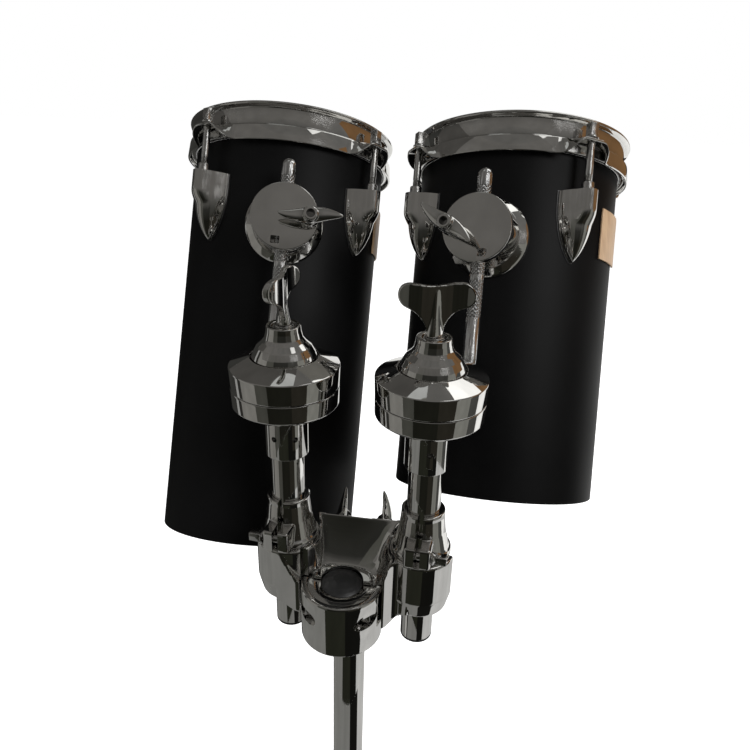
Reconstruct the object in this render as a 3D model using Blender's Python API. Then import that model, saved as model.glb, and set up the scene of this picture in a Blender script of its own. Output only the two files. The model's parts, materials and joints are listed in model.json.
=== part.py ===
"""Pair of octobans, two long tube drums, on a chrome double holder and its pole.

Metres, +Z up. The origin is the middle of the pole's lower end. -Y faces the photographer,
and -X is the longer drum's side.
"""
import math

import bmesh
import bpy
from mathutils import Matrix, Vector

MM = 0.001
GAP = 0.3 * MM
SIDES = {"left": -1, "right": 1}

# Pole and posts are the same tube
TUBE_RADIUS = 11.1 * MM
TUBE_WALL = 1.8 * MM
TUBE_INSIDE = TUBE_RADIUS - TUBE_WALL
TUBE_FIT = TUBE_RADIUS + GAP
POLE_TOP = 330.0 * MM
POLE_END_THICKNESS = 6.0 * MM
POST_X = 45.6 * MM
POST_Y = 15.7 * MM
POST_BOTTOM = 301.0 * MM
POST_TOP = 465.0 * MM
END_PLUG_THICKNESS = 2.5 * MM
END_PLUG_STEM = 9.0 * MM
END_PLUG_EDGE = 1.2 * MM

# Rubber plug in the top of the clamp, which stands to one side of the pole's axis with the cap
SEAT_X = -5.5 * MM
PLUG_LIP = 3.1 * MM
PLUG_RADIUS = TUBE_RADIUS + PLUG_LIP
PLUG_SEAT = 345.0 * MM
PLUG_STEM = 11.0 * MM
PLUG_STEM_RADIUS = 9.0 * MM
PLUG_DOME_RADIUS = 28.5 * MM
PLUG_DOME_DROP = 20.8 * MM

# Clamp on the pole: the cap in front, and the body that holds a post in each arm
CLAMP_BOTTOM = 309.0 * MM
CLAMP_SEAT_TOP = 350.0 * MM
CLAMP_BACK_Y = 32.5 * MM
CLAMP_BACK_RISE = 30.0 * MM
CAP_BOLT_RADIUS = 2.6 * MM
CAP_BOLT_HEAD = 5.0 * MM
CAP_BOLT_LENGTH = 20.0 * MM
CAP_BOLT_DROP = 16.0 * MM
CAP_BOLT_SPACE = 5.3 * MM
CAP_BOLT_X = PLUG_RADIUS + CAP_BOLT_SPACE
CAP_RECESS_RADIUS = 5.6 * MM
CAP_RECESS_FLOOR = 9.0 * MM
CAP_EDGE = 8.5 * MM
CAP_RADIUS = CAP_BOLT_X + CAP_EDGE
CAP_ROUNDING = 2.2 * MM
ARM_BOTTOM = 331.0 * MM
ARM_TOP = 373.0 * MM
ARM_LEDGE = 0.25 * MM
ARM_WALL = 11.1 * MM
ARM_RADIUS = TUBE_FIT + ARM_WALL
RELIEF_WALL = 2.6 * MM
ARM_RELIEF = TUBE_FIT + RELIEF_WALL
RELIEF_START = -12.0
RELIEF_END = 121.0
ARM_BOLT_HEIGHT = 361.0 * MM
ARM_BOLT_TURN = 37.0
ARM_BOLT_RADIUS = 4.0 * MM
ARM_BOLT_STANDOFF = 15.0 * MM
ARM_BOLT_HUB = ARM_RADIUS + ARM_BOLT_STANDOFF
ARM_WING_SPAN = 58.0 * MM
ARM_WING_HEIGHT = 18.0 * MM
ARM_WING_BARREL = 5.5 * MM
ARM_WING_THICKNESS = 3.4 * MM
ARM_WING_SPIN = 88.0

# Memory locks: split rings that stand on the arms
LOCK_HEIGHT = 33.0 * MM
LOCK_FOOT_WALL = 8.6 * MM
LOCK_FOOT_RADIUS = TUBE_FIT + LOCK_FOOT_WALL
LOCK_FOOT_HEIGHT = 4.0 * MM
LOCK_TOP_WALL = 3.0 * MM
LOCK_TOP_RADIUS = TUBE_FIT + LOCK_TOP_WALL
LOCK_EAR_HEIGHT = 20.0 * MM
LOCK_EAR_WIDTH = 18.0 * MM
LOCK_EAR_ROOT = TUBE_FIT + 2.6 * MM
LOCK_EAR_REACH = LOCK_FOOT_RADIUS + 6.5 * MM
LOCK_BOLT_OUT = LOCK_EAR_REACH - 4.5 * MM
LOCK_BOLT_RADIUS = 2.5 * MM
LOCK_SLOT = 4.0 * MM
LOCK_SLOT_START = 6.0 * MM
LOCK_TURN = {"left": -6.0, "right": -2.0}

# Ball joints on top of the posts
COLLAR_WALL = 2.9 * MM
COLLAR_RADIUS = TUBE_FIT + COLLAR_WALL
COLLAR_BOTTOM = POST_TOP - 26.5 * MM
BALL_RADIUS = 15.0 * MM
BALL_HEIGHT = POST_TOP + 22.0 * MM
BALL_SOCKET = 8.0 * MM
BALL_CUP_WALL = 3.2 * MM
HOUSING_RADIUS = 34.5 * MM
HOUSING_WALL = 3.0 * MM
HOUSING_INSIDE = HOUSING_RADIUS - HOUSING_WALL
HOUSING_BOTTOM = POST_TOP + 8.0 * MM
HOUSING_FLOOR = 5.0 * MM
HOUSING_PARTING = BALL_HEIGHT - GAP
HOUSING_RIM = BALL_HEIGHT + 13.5 * MM
CONE_TOP_RADIUS = 22.4 * MM
CONE_RISE = 6.0 * MM
CONE_SLOPE = CONE_RISE / (HOUSING_RADIUS - CONE_TOP_RADIUS)
DOME_RADIUS = 26.0 * MM
DOME_WALL = 3.0 * MM
DOME_CENTRE = BALL_HEIGHT + 5.6 * MM
DOME_FLANGE_RADIUS = HOUSING_INSIDE - 4.0 * MM
DOME_FLANGE_ANGLE = 12.0
NECK_RADIUS = 10.6 * MM
NECK_TOP = DOME_CENTRE + 33.4 * MM
TOP_BOLT_RADIUS = 3.0 * MM
TOP_WING_HEIGHT = 33.0 * MM
TOP_WING_SPAN = 45.0 * MM
TOP_WING_BARREL = 5.6 * MM
TOP_WING_THICKNESS = 3.6 * MM
TOP_WING_SPIN = {"left": 66.0, "right": 4.0}

# L-rods
ROD_RADIUS = 5.0 * MM
ROD_BEND = 12.0 * MM
ROD_ABOVE_BRACKET = 42.0 * MM
ROD_STANDOFF = 22.0 * MM
SLOT_HALF_WIDTH = ROD_RADIUS + 3.0 * MM
SLOT_HALF_HEIGHT = ROD_RADIUS + 6.5 * MM

# Drums: they stand outside their posts, and the longer one's lower edge stays behind its arm
SHELL_RADIUS = 75.0 * MM
SHELL_WALL = 5.0 * MM
SHELL_LENGTHS = {"left": 305.0 * MM, "right": 254.0 * MM}
DRUM_LEAN = 25.0
DRUM_TURN = 15.0
DRUM_INSET = 42.6 * MM
DRUM_FORWARD = 11.57 * MM
DRUM_X = POST_X + ARM_RELIEF + SHELL_RADIUS - DRUM_INSET
DRUM_TOP_Z = 599.0 * MM
LEAN = math.radians(DRUM_LEAN)
LOWER_EDGE_Y = POST_Y + ARM_RELIEF - DRUM_FORWARD + SHELL_RADIUS * math.cos(LEAN)
DRUM_TOP_Y = LOWER_EDGE_Y + max(SHELL_LENGTHS.values()) * math.sin(LEAN)

# Heads, hoops, lugs and tension rods
HEAD_THICKNESS = 0.8 * MM
HEAD_FIT = SHELL_RADIUS + GAP
FLESH_HOOP_RADIUS = SHELL_RADIUS + 4.6 * MM
FLESH_HOOP_BOTTOM = 13.0 * MM
FLESH_HOOP_TOP = 6.0 * MM
HOOP_RISE = 12.0 * MM
HOOP_THICKNESS = 1.6 * MM
HOOP_BAND_RADIUS = SHELL_RADIUS + 3.3 * MM
HOOP_INSIDE = HOOP_BAND_RADIUS - HOOP_THICKNESS
HOOP_SKIRT_RADIUS = SHELL_RADIUS + 6.2 * MM
HOOP_SHELF_DROP = 4.0 * MM
LIP_RADIUS = SHELL_RADIUS + 7.2 * MM
LIP_HEIGHT = 1.8 * MM
EAR_LENGTH = 11.5 * MM
EAR_SLOPE = 6.0
SKIRT_SLOPE = 86.0
TENSION_RADIUS = 2.7 * MM
TENSION_CIRCLE = SHELL_RADIUS + 12.0 * MM
TENSION_HEAD = 6.2 * MM
TENSION_HEAD_HEIGHT = 9.0 * MM
LUG_AZIMUTHS = (-45, 45, 135, -135)
LUG_DROP = 39.0 * MM
LUG_LENGTH = 48.0 * MM
LUG_HALF_WIDTH = 15.5 * MM
LUG_DEPTH = 19.5 * MM
LUG_SLEEVE_RADIUS = TENSION_RADIUS + 1.6 * MM
LUG_SLEEVE_RISE = 5.5 * MM
LUG_SLEEVE_DEPTH = 6.0 * MM
LUG_BORE_DEPTH = 22.0 * MM

# Badges, blank
BADGE_SIZE = 36.0 * MM
BADGE_THICKNESS = 1.5 * MM
BADGE_AZIMUTH = 80.0
BADGE_DROP = 61.0 * MM

# Brackets that hold the drums to the L-rods, measured out of the shell
BRACKET_DROP = 74.5 * MM
FLANGE_RADIUS = 27.8 * MM
FLANGE_HEIGHT = 6.5 * MM
FLANGE_EDGE = 2.4 * MM
FLANGE_SLOPE = 4.5 * MM
NECK_HALF_LENGTH = 22.0 * MM
NECK_FLATTEN = 0.62
DISC_RADIUS = 23.0 * MM
DISC_FRONT = ROD_STANDOFF + 11.5 * MM
DISC_THICKNESS = 5.0 * MM
DISC_HUB_RADIUS = 18.0 * MM
DISC_HUB_BOTTOM = ROD_STANDOFF + 2.2 * MM
BRACKET_NECK_TOP = DISC_HUB_BOTTOM - 2 * GAP
SLEEVE_WALL = 0.9 * MM
SLEEVE_LENGTH = 24.0 * MM
SLEEVE_FIT = ROD_RADIUS + SLEEVE_WALL + 2 * GAP
BRACKET_SCREW_X = 17.0 * MM
BRACKET_SCREW_RADIUS = 2.5 * MM
BRACKET_SCREW_LENGTH = 20.0 * MM
SCREW_HUB_HEIGHT = 17.6 * MM
SCREW_LEAF_HALF = 22.0 * MM
SCREW_LEAF_BOTTOM = 7.0 * MM
SCREW_LEAF_TOP = 16.0 * MM
SCREW_SPIN = {"left": 3.0, "right": -36.0}


def material(name, colour, roughness, metallic):
    made = bpy.data.materials.new(name)
    made.use_nodes = True
    shader = made.node_tree.nodes["Principled BSDF"]
    shader.inputs["Base Color"].default_value = (*colour, 1)
    shader.inputs["Roughness"].default_value = roughness
    shader.inputs["Metallic"].default_value = metallic
    made.diffuse_color = (*colour, 1)
    return made


def attach(child, parent, matrix):
    """Parent child, and put it at matrix in the world."""
    if parent is not None:
        child.parent = parent
        child.matrix_parent_inverse = parent.matrix_world.inverted()
    child.matrix_world = matrix


def pivot(name, matrix, parent=None):
    """An empty on a joint's axis, which carries what moves there."""
    made = bpy.data.objects.new(name, None)
    made.empty_display_size = 20 * MM
    bpy.context.scene.collection.objects.link(made)
    attach(made, parent, matrix)
    return made


def add(name, bm, finish, matrix, parent=None):
    """Make a named object from a closed bmesh; matrix is the object's place in the world."""
    bmesh.ops.remove_doubles(bm, verts=bm.verts, dist=1e-6)
    bmesh.ops.recalc_face_normals(bm, faces=bm.faces)
    mesh = bpy.data.meshes.new(name)
    bm.to_mesh(mesh)
    bm.free()
    mesh.materials.append(finish)
    mesh.shade_smooth()
    mesh.set_sharp_from_angle(angle=math.radians(35))
    made = bpy.data.objects.new(name, mesh)
    bpy.context.scene.collection.objects.link(made)
    attach(made, parent, matrix)
    return made


def boolean(target, bm, matrix, operation):
    """Change target by a closed bmesh, which stays as a wire tool on the target."""
    tool = add(f"{target.name}_tool", bm, target.data.materials[0], matrix, target)
    tool.hide_render = True
    tool.display_type = "WIRE"
    modifier = target.modifiers.new(operation.lower(), "BOOLEAN")
    modifier.operation = operation
    modifier.object = tool
    modifier.solver = "EXACT"


def cut(target, bm, matrix):
    boolean(target, bm, matrix, "DIFFERENCE")


def join(target, bm, matrix):
    boolean(target, bm, matrix, "UNION")


def skin(bm, rings, closed):
    """Faces between rings of corners, each with its next one; closed joins the last to the first."""
    following = rings[1:] + rings[:1] if closed else rings[1:]
    for first, second in zip(rings, following):
        for k in range(len(first)):
            n = (k + 1) % len(first)
            bm.faces.new((first[k], first[n], second[n], second[k]))
    if not closed:
        bm.faces.new(rings[0])
        bm.faces.new(rings[-1])


def lathe(profile, segments):
    """Turn a closed outline of (radius, height) points round Z."""
    bm = bmesh.new()
    turns = [2 * math.pi * i / segments for i in range(segments)]
    rings = []
    for radius, height in profile:
        if radius < 1e-7:
            rings.append([bm.verts.new((0, 0, height))])
        else:
            rings.append([bm.verts.new((radius * math.cos(t), radius * math.sin(t), height)) for t in turns])
    for first, second in zip(rings, rings[1:] + rings[:1]):
        if len(first) == 1 and len(second) == 1:
            continue
        for i in range(segments):
            j = (i + 1) % segments
            ends = [(first, i), (first, j), (second, j), (second, i)]
            corners = dict.fromkeys(ring[k % len(ring)] for ring, k in ends)
            bm.faces.new(list(corners))
    return bm


def cylinder(radius, bottom, top, segments):
    return lathe([(0, bottom), (radius, bottom), (radius, top), (0, top)], segments)


def prism(outline, bottom, top):
    """Extrude an outline of (x, y) points between two heights."""
    bm = bmesh.new()
    rings = [[bm.verts.new((x, y, height)) for x, y in outline] for height in (bottom, top)]
    skin(bm, rings, False)
    return bm


def block(size, centre):
    x, y, z = centre
    a, b, c = (v / 2 for v in size)
    return prism([(x - a, y - b), (x + a, y - b), (x + a, y + b), (x - a, y + b)], z - c, z + c)


def arc(centre, radius, start, end, steps):
    """Points of (a, b) on an arc, angles in degrees."""
    angles = [math.radians(start + (end - start) * i / steps) for i in range(steps + 1)]
    return [(centre[0] + radius * math.cos(t), centre[1] + radius * math.sin(t)) for t in angles]


def sweep(points, radii, sides):
    """A round bar along 3-D points with a radius at each, and closed ends."""
    bm = bmesh.new()
    turns = [2 * math.pi * k / sides for k in range(sides)]
    side = (points[1] - points[0]).orthogonal()
    rings = []
    for i, point in enumerate(points):
        before = points[max(i - 1, 0)]
        after = points[min(i + 1, len(points) - 1)]
        along = (after - before).normalized()
        side = (side - along * side.dot(along)).normalized()
        other = along.cross(side)
        ring = [point + radii[i] * (side * math.cos(t) + other * math.sin(t)) for t in turns]
        rings.append([bm.verts.new(corner) for corner in ring])
    skin(bm, rings, False)
    return bm


def place(x, y, z):
    return Matrix.Translation((x, y, z))


def turned(axis, degrees):
    return Matrix.Rotation(math.radians(degrees), 4, axis)


def axis_matrix(origin, direction):
    """A frame at origin whose Z runs along direction."""
    return Matrix.Translation(origin) @ Vector(direction).to_track_quat("Z", "Y").to_matrix().to_4x4()


def post_matrix(side):
    return place(side * POST_X, POST_Y, 0)


def wing_outline(span, height, barrel, foot):
    """Side view of a winged head on its barrel: (x, z) points from the foot up and round."""
    half = span / 2
    lobe = height * 0.34
    right = [(barrel, foot), (barrel * 1.25, height * 0.40), (half * 0.62, height * 0.58)]
    right += arc((half - lobe * 0.55, height - lobe), lobe * 0.72, -55, 50, 4)
    right += [(half * 0.62, height * 0.99)]
    return right + [(-x, z) for x, z in reversed(right)]


def winged_bolt(name, matrix, parent, span, height, barrel, shank, tip, thickness):
    """Wing bolt along +Z: shank down to -tip, barrel and wings from 0 up to height."""
    outline = [(0, -tip), (shank, -tip), (shank, 0), (barrel * 1.15, 0), (barrel, height * 0.12)]
    outline += [(barrel * 0.95, height), (0, height)]
    made = add(name, lathe(outline, 16), CHROME, matrix, parent)
    wings = prism(wing_outline(span, height, barrel * 0.6, height * 0.22), -thickness / 2, thickness / 2)
    join(made, wings, matrix @ turned("X", 90))


def key_bolt(name, matrix, parent, radius, length, head, head_height):
    """Square-headed bolt along +Z: shank down to -length, flange and square head above 0."""
    flange = head * 0.78
    outline = [(0, -length), (radius, -length), (radius, 0), (flange, 0), (flange, 1.2 * MM)]
    outline += [(head / 2, 2.4 * MM), (0, 2.4 * MM)]
    made = add(name, lathe(outline, 12), STEEL, matrix, parent)
    join(made, block((head, head, head_height), (0, 0, 1.6 * MM + head_height / 2)), matrix)


def make_pole():
    """Tube with a closed foot."""
    outline = [(0, 0), (TUBE_RADIUS - 0.5 * MM, 0), (TUBE_RADIUS, 0.5 * MM), (TUBE_RADIUS, POLE_TOP)]
    outline += [(TUBE_INSIDE, POLE_TOP), (TUBE_INSIDE, POLE_END_THICKNESS), (0, POLE_END_THICKNESS)]
    add("pole", lathe(outline, 32), CHROME, Matrix())


def make_plug(parent):
    """Domed rubber plug over the pole, held between the clamp's halves."""
    seat = PLUG_SEAT + GAP
    dome = arc((0, seat - PLUG_DOME_DROP), PLUG_DOME_RADIUS, 61, 90, 3)
    edge = dome[0][1] - 1 * MM
    outline = [(0, seat - PLUG_STEM), (PLUG_STEM_RADIUS, seat - PLUG_STEM), (PLUG_STEM_RADIUS, seat)]
    outline += [(PLUG_RADIUS, seat), (PLUG_RADIUS, edge)] + dome[:-1] + [(0, dome[-1][1])]
    add("pole_plug", lathe(outline, 24), RUBBER, place(SEAT_X, 0, 0), parent)


def saddle_height(x, y):
    """Top of the clamp between its arms: low behind the plug, rising outward and to the back."""
    inner = CAP_RADIUS - 1.5 * MM
    outer = POST_X - 5.6 * MM - math.copysign(SEAT_X, x - SEAT_X)
    front = 12 * MM
    out = min(max((abs(x - SEAT_X) - inner) / (outer - inner), 0), 1)
    out = out * out * (3 - 2 * out)
    back = min(max((y - front) / (CLAMP_BACK_Y - front), 0), 1.3)
    low = CLAMP_SEAT_TOP + 2 * MM
    high = ARM_TOP + ARM_LEDGE
    return low + (high - low) * out + CLAMP_BACK_RISE * back ** 1.5 * (1 - 0.35 * out)


def saddle_cutter():
    """Everything above the saddle surface, as one closed block."""
    columns, rows = 20, 7
    half = POST_X + 4.45 * MM
    front = -16 * MM
    depth = CLAMP_BACK_Y + 5.5 * MM - front
    top = ARM_TOP + 60 * MM
    xs = [-half + 2 * half * i / (columns - 1) for i in range(columns)]
    ys = [front + depth * j / (rows - 1) for j in range(rows)]
    bm = bmesh.new()
    low = [[bm.verts.new((x, y, saddle_height(x, y))) for y in ys] for x in xs]
    high = [[bm.verts.new((x, y, top)) for y in ys] for x in xs]
    for grid in (low, high):
        for i in range(columns - 1):
            for j in range(rows - 1):
                bm.faces.new((grid[i][j], grid[i + 1][j], grid[i + 1][j + 1], grid[i][j + 1]))
    for i in range(columns - 1):
        for j in (0, rows - 1):
            bm.faces.new((low[i][j], low[i + 1][j], high[i + 1][j], high[i][j]))
    for j in range(rows - 1):
        for i in (0, columns - 1):
            bm.faces.new((low[i][j], low[i][j + 1], high[i][j + 1], high[i][j]))
    return bm


def arm_bolt_direction(side):
    """Level direction of an arm's wing bolt, back and inwards from the post."""
    turn = math.radians(ARM_BOLT_TURN)
    return Vector((-side * math.sin(turn), math.cos(turn), 0))


def cap_bolt_matrix(side, direction):
    return axis_matrix((SEAT_X + side * CAP_BOLT_X, 0, CLAMP_SEAT_TOP - CAP_BOLT_DROP), direction)


def web_outline():
    """Plan of the bridge between the arms, waisted towards the pole."""
    waist = [(0, 0.5), (0.157, 0.2), (0.340, -2.2), (0.576, -4.6), (1, -5.5)]
    sides = []
    for side in (1, -1):
        start = SEAT_X + side * CAP_RADIUS
        front = [(start + share * (side * POST_X - start), y * MM) for share, y in waist]
        sides.append(front + [(side * POST_X, CLAMP_BACK_Y)])
    return sides[0] + sides[1][::-1]


def cut_seat(target):
    """Room for the pole, and above it for the plug and its stem."""
    axis = place(SEAT_X, 0, 0)
    cut(target, cylinder(TUBE_FIT, CLAMP_BOTTOM - MM, POLE_TOP + 0.6 * MM, 32), Matrix())
    cut(target, cylinder(PLUG_STEM_RADIUS + GAP, POLE_TOP, PLUG_SEAT + MM, 24), axis)
    cut(target, cylinder(PLUG_RADIUS + GAP, PLUG_SEAT, ARM_TOP + 30 * MM, 32), axis)


def make_clamp(parent):
    """Body of the clamp: bridge, two arms bored for the posts, and the rear half of the pole's seat."""
    body = add("clamp_body", prism(web_outline(), ARM_BOTTOM, ARM_TOP + 20 * MM), CHROME, Matrix(), parent)
    cut(body, saddle_cutter(), Matrix())
    for side in (-1, 1):
        join(body, cylinder(ARM_RADIUS, ARM_BOTTOM - MM, ARM_TOP + 2 * MM, 36), post_matrix(side))
    seat = [(x, min(y, 18 * MM)) for x, y in arc((0, 0.5 * MM), CAP_RADIUS - 0.1 * MM, 0, 180, 20)]
    join(body, prism(seat, CLAMP_BOTTOM, ARM_BOTTOM + 2 * MM), place(SEAT_X, 0, 0))
    clear = CAP_RADIUS + GAP
    room = [(x, y + 0.5 * MM) for x, y in arc((0, 0), clear, 180, 360, 24)]
    cut(body, prism(room, CLAMP_BOTTOM - 2 * MM, ARM_TOP + 3 * MM), place(SEAT_X, 0, 0))
    cut_seat(body)
    for side in (-1, 1):
        cut_arm(body, side)


def cut_arm(body, side):
    """Post bore, flat top, thin rear wall that lets the shell by, and the two bolt holes."""
    arm = post_matrix(side)
    cut(body, cylinder(TUBE_FIT, CLAMP_BOTTOM - 3 * MM, ARM_TOP + 4 * MM, 28), arm)
    cut(body, cylinder(ARM_RADIUS + 0.7 * MM, ARM_TOP, ARM_TOP + 40 * MM, 40), arm)
    start, end = RELIEF_START, RELIEF_END
    if side < 0:
        start, end = 180 - RELIEF_END, 180 - RELIEF_START
    outside = ARM_RADIUS + 11.5 * MM
    relief = arc((0, 0), ARM_RELIEF, start, end, 8) + arc((0, 0), outside, end, start, 8)
    cut(body, prism(relief, ARM_BOTTOM - 5 * MM, ARM_TOP + 10 * MM), arm)
    axis = Vector((side * POST_X, POST_Y, ARM_BOLT_HEIGHT))
    bolt = axis_matrix(axis, arm_bolt_direction(side))
    cut(body, cylinder(ARM_BOLT_RADIUS + GAP, 0, 2 * ARM_RADIUS, 16), bolt)
    cut(body, cylinder(CAP_BOLT_RADIUS + GAP, -2 * MM, 14 * MM, 14), cap_bolt_matrix(side, (0, 1, 0)))


def make_cap(parent):
    """Front half of the pole's seat, with a recess for the head of each bolt."""
    outline = [(x, min(y, -GAP)) for x, y in arc((0, 0), CAP_RADIUS, 180.2, 359.8, 28)]
    axis = place(SEAT_X, 0, 0)
    cap = add("front_cap", prism(outline, CLAMP_BOTTOM, CLAMP_SEAT_TOP), CHROME, axis, parent)
    bevel = cap.modifiers.new("edge", "BEVEL")
    bevel.width = CAP_ROUNDING
    bevel.segments = 2
    bevel.limit_method = "ANGLE"
    bevel.angle_limit = math.radians(60)
    cut_seat(cap)
    for name, side in SIDES.items():
        hole = cap_bolt_matrix(side, (0, -1, 0))
        cut(cap, cylinder(CAP_BOLT_RADIUS + GAP, -2 * MM, 30 * MM, 14), hole)
        cut(cap, cylinder(CAP_RECESS_RADIUS, CAP_RECESS_FLOOR, 30 * MM, 16), hole)
        seat = hole @ place(0, 0, CAP_RECESS_FLOOR + GAP)
        key_bolt(f"cap_bolt_{name}", seat, parent, CAP_BOLT_RADIUS, CAP_BOLT_LENGTH, CAP_BOLT_HEAD,
                 CAP_BOLT_HEAD)


def make_arm_bolt(name, side, parent):
    direction = arm_bolt_direction(side)
    hub = Vector((side * POST_X, POST_Y, ARM_BOLT_HEIGHT)) + direction * ARM_BOLT_HUB
    matrix = axis_matrix(hub, direction) @ turned("Z", side * ARM_WING_SPIN)
    winged_bolt(f"{name}_arm_wing_bolt", matrix, parent, ARM_WING_SPAN, ARM_WING_HEIGHT, ARM_WING_BARREL,
                ARM_BOLT_RADIUS, ARM_BOLT_HUB - TUBE_FIT, ARM_WING_THICKNESS)


def make_post(name, side, parent):
    """Post tube with the plug in its lower end."""
    outline = [(TUBE_RADIUS, POST_BOTTOM), (TUBE_RADIUS, POST_TOP), (TUBE_INSIDE, POST_TOP)]
    outline += [(TUBE_INSIDE, POST_BOTTOM)]
    add(f"{name}_post", lathe(outline, 28), CHROME, post_matrix(side), parent)
    stem = TUBE_INSIDE - GAP
    foot = POST_BOTTOM - GAP
    edge = TUBE_RADIUS - END_PLUG_EDGE
    outline = [(0, foot - END_PLUG_THICKNESS), (edge, foot - END_PLUG_THICKNESS)]
    outline += [(TUBE_RADIUS, foot - END_PLUG_EDGE), (TUBE_RADIUS, foot), (stem, foot)]
    outline += [(stem, foot + END_PLUG_STEM), (0, foot + END_PLUG_STEM)]
    add(f"{name}_post_end_plug", lathe(outline, 24), RUBBER, post_matrix(side), parent)


def make_lock(name, side, parent):
    """Memory lock: a cone-shaped split ring with two ears, pinched by a key bolt."""
    bottom = ARM_TOP + GAP
    top = bottom + LOCK_HEIGHT
    middle = bottom + LOCK_EAR_HEIGHT / 2
    frame = post_matrix(side) @ turned("Z", LOCK_TURN[name])
    profile = [(TUBE_FIT, bottom), (LOCK_FOOT_RADIUS, bottom), (LOCK_FOOT_RADIUS, bottom + LOCK_FOOT_HEIGHT)]
    profile += [(LOCK_TOP_RADIUS, top - 3 * MM), (LOCK_TOP_RADIUS - 0.8 * MM, top), (TUBE_FIT, top)]
    lock = add(f"{name}_memory_lock", lathe(profile, 24), CHROME, frame, parent)
    length = LOCK_EAR_REACH - LOCK_EAR_ROOT
    centre = (0, -(LOCK_EAR_REACH + LOCK_EAR_ROOT) / 2, middle)
    join(lock, block((LOCK_EAR_WIDTH, length, LOCK_EAR_HEIGHT), centre), frame)
    centre = (0, -LOCK_EAR_REACH / 2 - LOCK_SLOT_START, bottom + LOCK_HEIGHT / 2)
    cut(lock, block((LOCK_SLOT, LOCK_EAR_REACH, LOCK_HEIGHT + 4 * MM), centre), frame)
    start = frame @ Vector((0, -LOCK_BOLT_OUT, middle))
    out = frame.to_3x3() @ Vector((side, 0, 0))
    cut(lock, cylinder(LOCK_BOLT_RADIUS + GAP, -15 * MM, 15 * MM, 14), axis_matrix(start, out))
    seat = axis_matrix(start + out * (LOCK_EAR_WIDTH / 2 + GAP), out)
    key_bolt(f"{name}_lock_bolt", seat, parent, LOCK_BOLT_RADIUS, LOCK_EAR_WIDTH + 1 * MM, 6 * MM, 8 * MM)


def leg_direction(side):
    """The ball's centre, the foot of the upright level with it, and the upright's direction."""
    drum = drum_matrix("left" if side < 0 else "right")
    upright = drum @ Vector((0, -(SHELL_RADIUS + ROD_STANDOFF), 0))
    along = drum.to_3x3() @ Vector((0, 0, 1))
    ball = Vector((side * POST_X, POST_Y, BALL_HEIGHT))
    foot = upright + along * ((BALL_HEIGHT - upright.z) / along.z)
    return ball, foot, along


def make_housing(name, side, parent):
    """Two halves round the ball, slotted for the L-rod; the lower one has the post's collar."""
    frame = post_matrix(side)
    ball, foot, _ = leg_direction(side)
    slot_frame = frame @ turned("Z", math.degrees(math.atan2(foot.y - ball.y, foot.x - ball.x)))
    slot_length = HOUSING_RADIUS + 25.5 * MM
    slot_size = (slot_length, 2 * SLOT_HALF_WIDTH, 2 * SLOT_HALF_HEIGHT)
    slot_centre = (slot_length / 2, 0, BALL_HEIGHT)
    side_radius = HOUSING_RADIUS - 0.5 * MM
    edge_radius = HOUSING_RADIUS - 1.2 * MM
    seat = BALL_RADIUS + GAP
    cup = arc((0, BALL_HEIGHT), seat, -1.2, -78, 6)
    cup_outside = seat + BALL_CUP_WALL
    floor = HOUSING_BOTTOM + HOUSING_FLOOR
    profile = [(TUBE_FIT, COLLAR_BOTTOM), (COLLAR_RADIUS, COLLAR_BOTTOM)]
    profile += [(COLLAR_RADIUS, HOUSING_BOTTOM - GAP), (HOUSING_RADIUS - 4 * MM, HOUSING_BOTTOM)]
    profile += [(edge_radius, HOUSING_BOTTOM + 2 * MM)]
    profile += [(side_radius, HOUSING_PARTING - 0.5 * MM), (edge_radius, HOUSING_PARTING)]
    profile += [(HOUSING_INSIDE, HOUSING_PARTING), (HOUSING_INSIDE, floor), (cup_outside, floor)]
    profile += [(cup_outside, HOUSING_PARTING)] + cup + [(TOP_BOLT_RADIUS, cup[-1][1])]
    profile += [(TOP_BOLT_RADIUS, POST_TOP + GAP), (TUBE_FIT, POST_TOP + GAP)]
    lower = add(f"{name}_housing_lower", lathe(profile, 30), CHROME, frame, parent)
    cut(lower, block(slot_size, slot_centre), slot_frame)
    low = HOUSING_PARTING + GAP
    cone_top = HOUSING_RIM + CONE_RISE
    under = HOUSING_RIM - HOUSING_WALL
    step = DOME_FLANGE_RADIUS + 0.5 * MM
    profile = [(HOUSING_INSIDE, low), (edge_radius, low), (side_radius, low + 0.5 * MM)]
    profile += [(HOUSING_RADIUS, HOUSING_RIM - 0.8 * MM), (HOUSING_RADIUS - 0.6 * MM, HOUSING_RIM)]
    profile += [(CONE_TOP_RADIUS, cone_top), (CONE_TOP_RADIUS, cone_top - HOUSING_WALL)]
    profile += [(step, under + CONE_SLOPE * (HOUSING_RADIUS - step)), (HOUSING_INSIDE, under)]
    upper = add(f"{name}_housing_upper", lathe(profile, 30), CHROME, frame, parent)
    cut(upper, block(slot_size, slot_centre), slot_frame)


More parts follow.
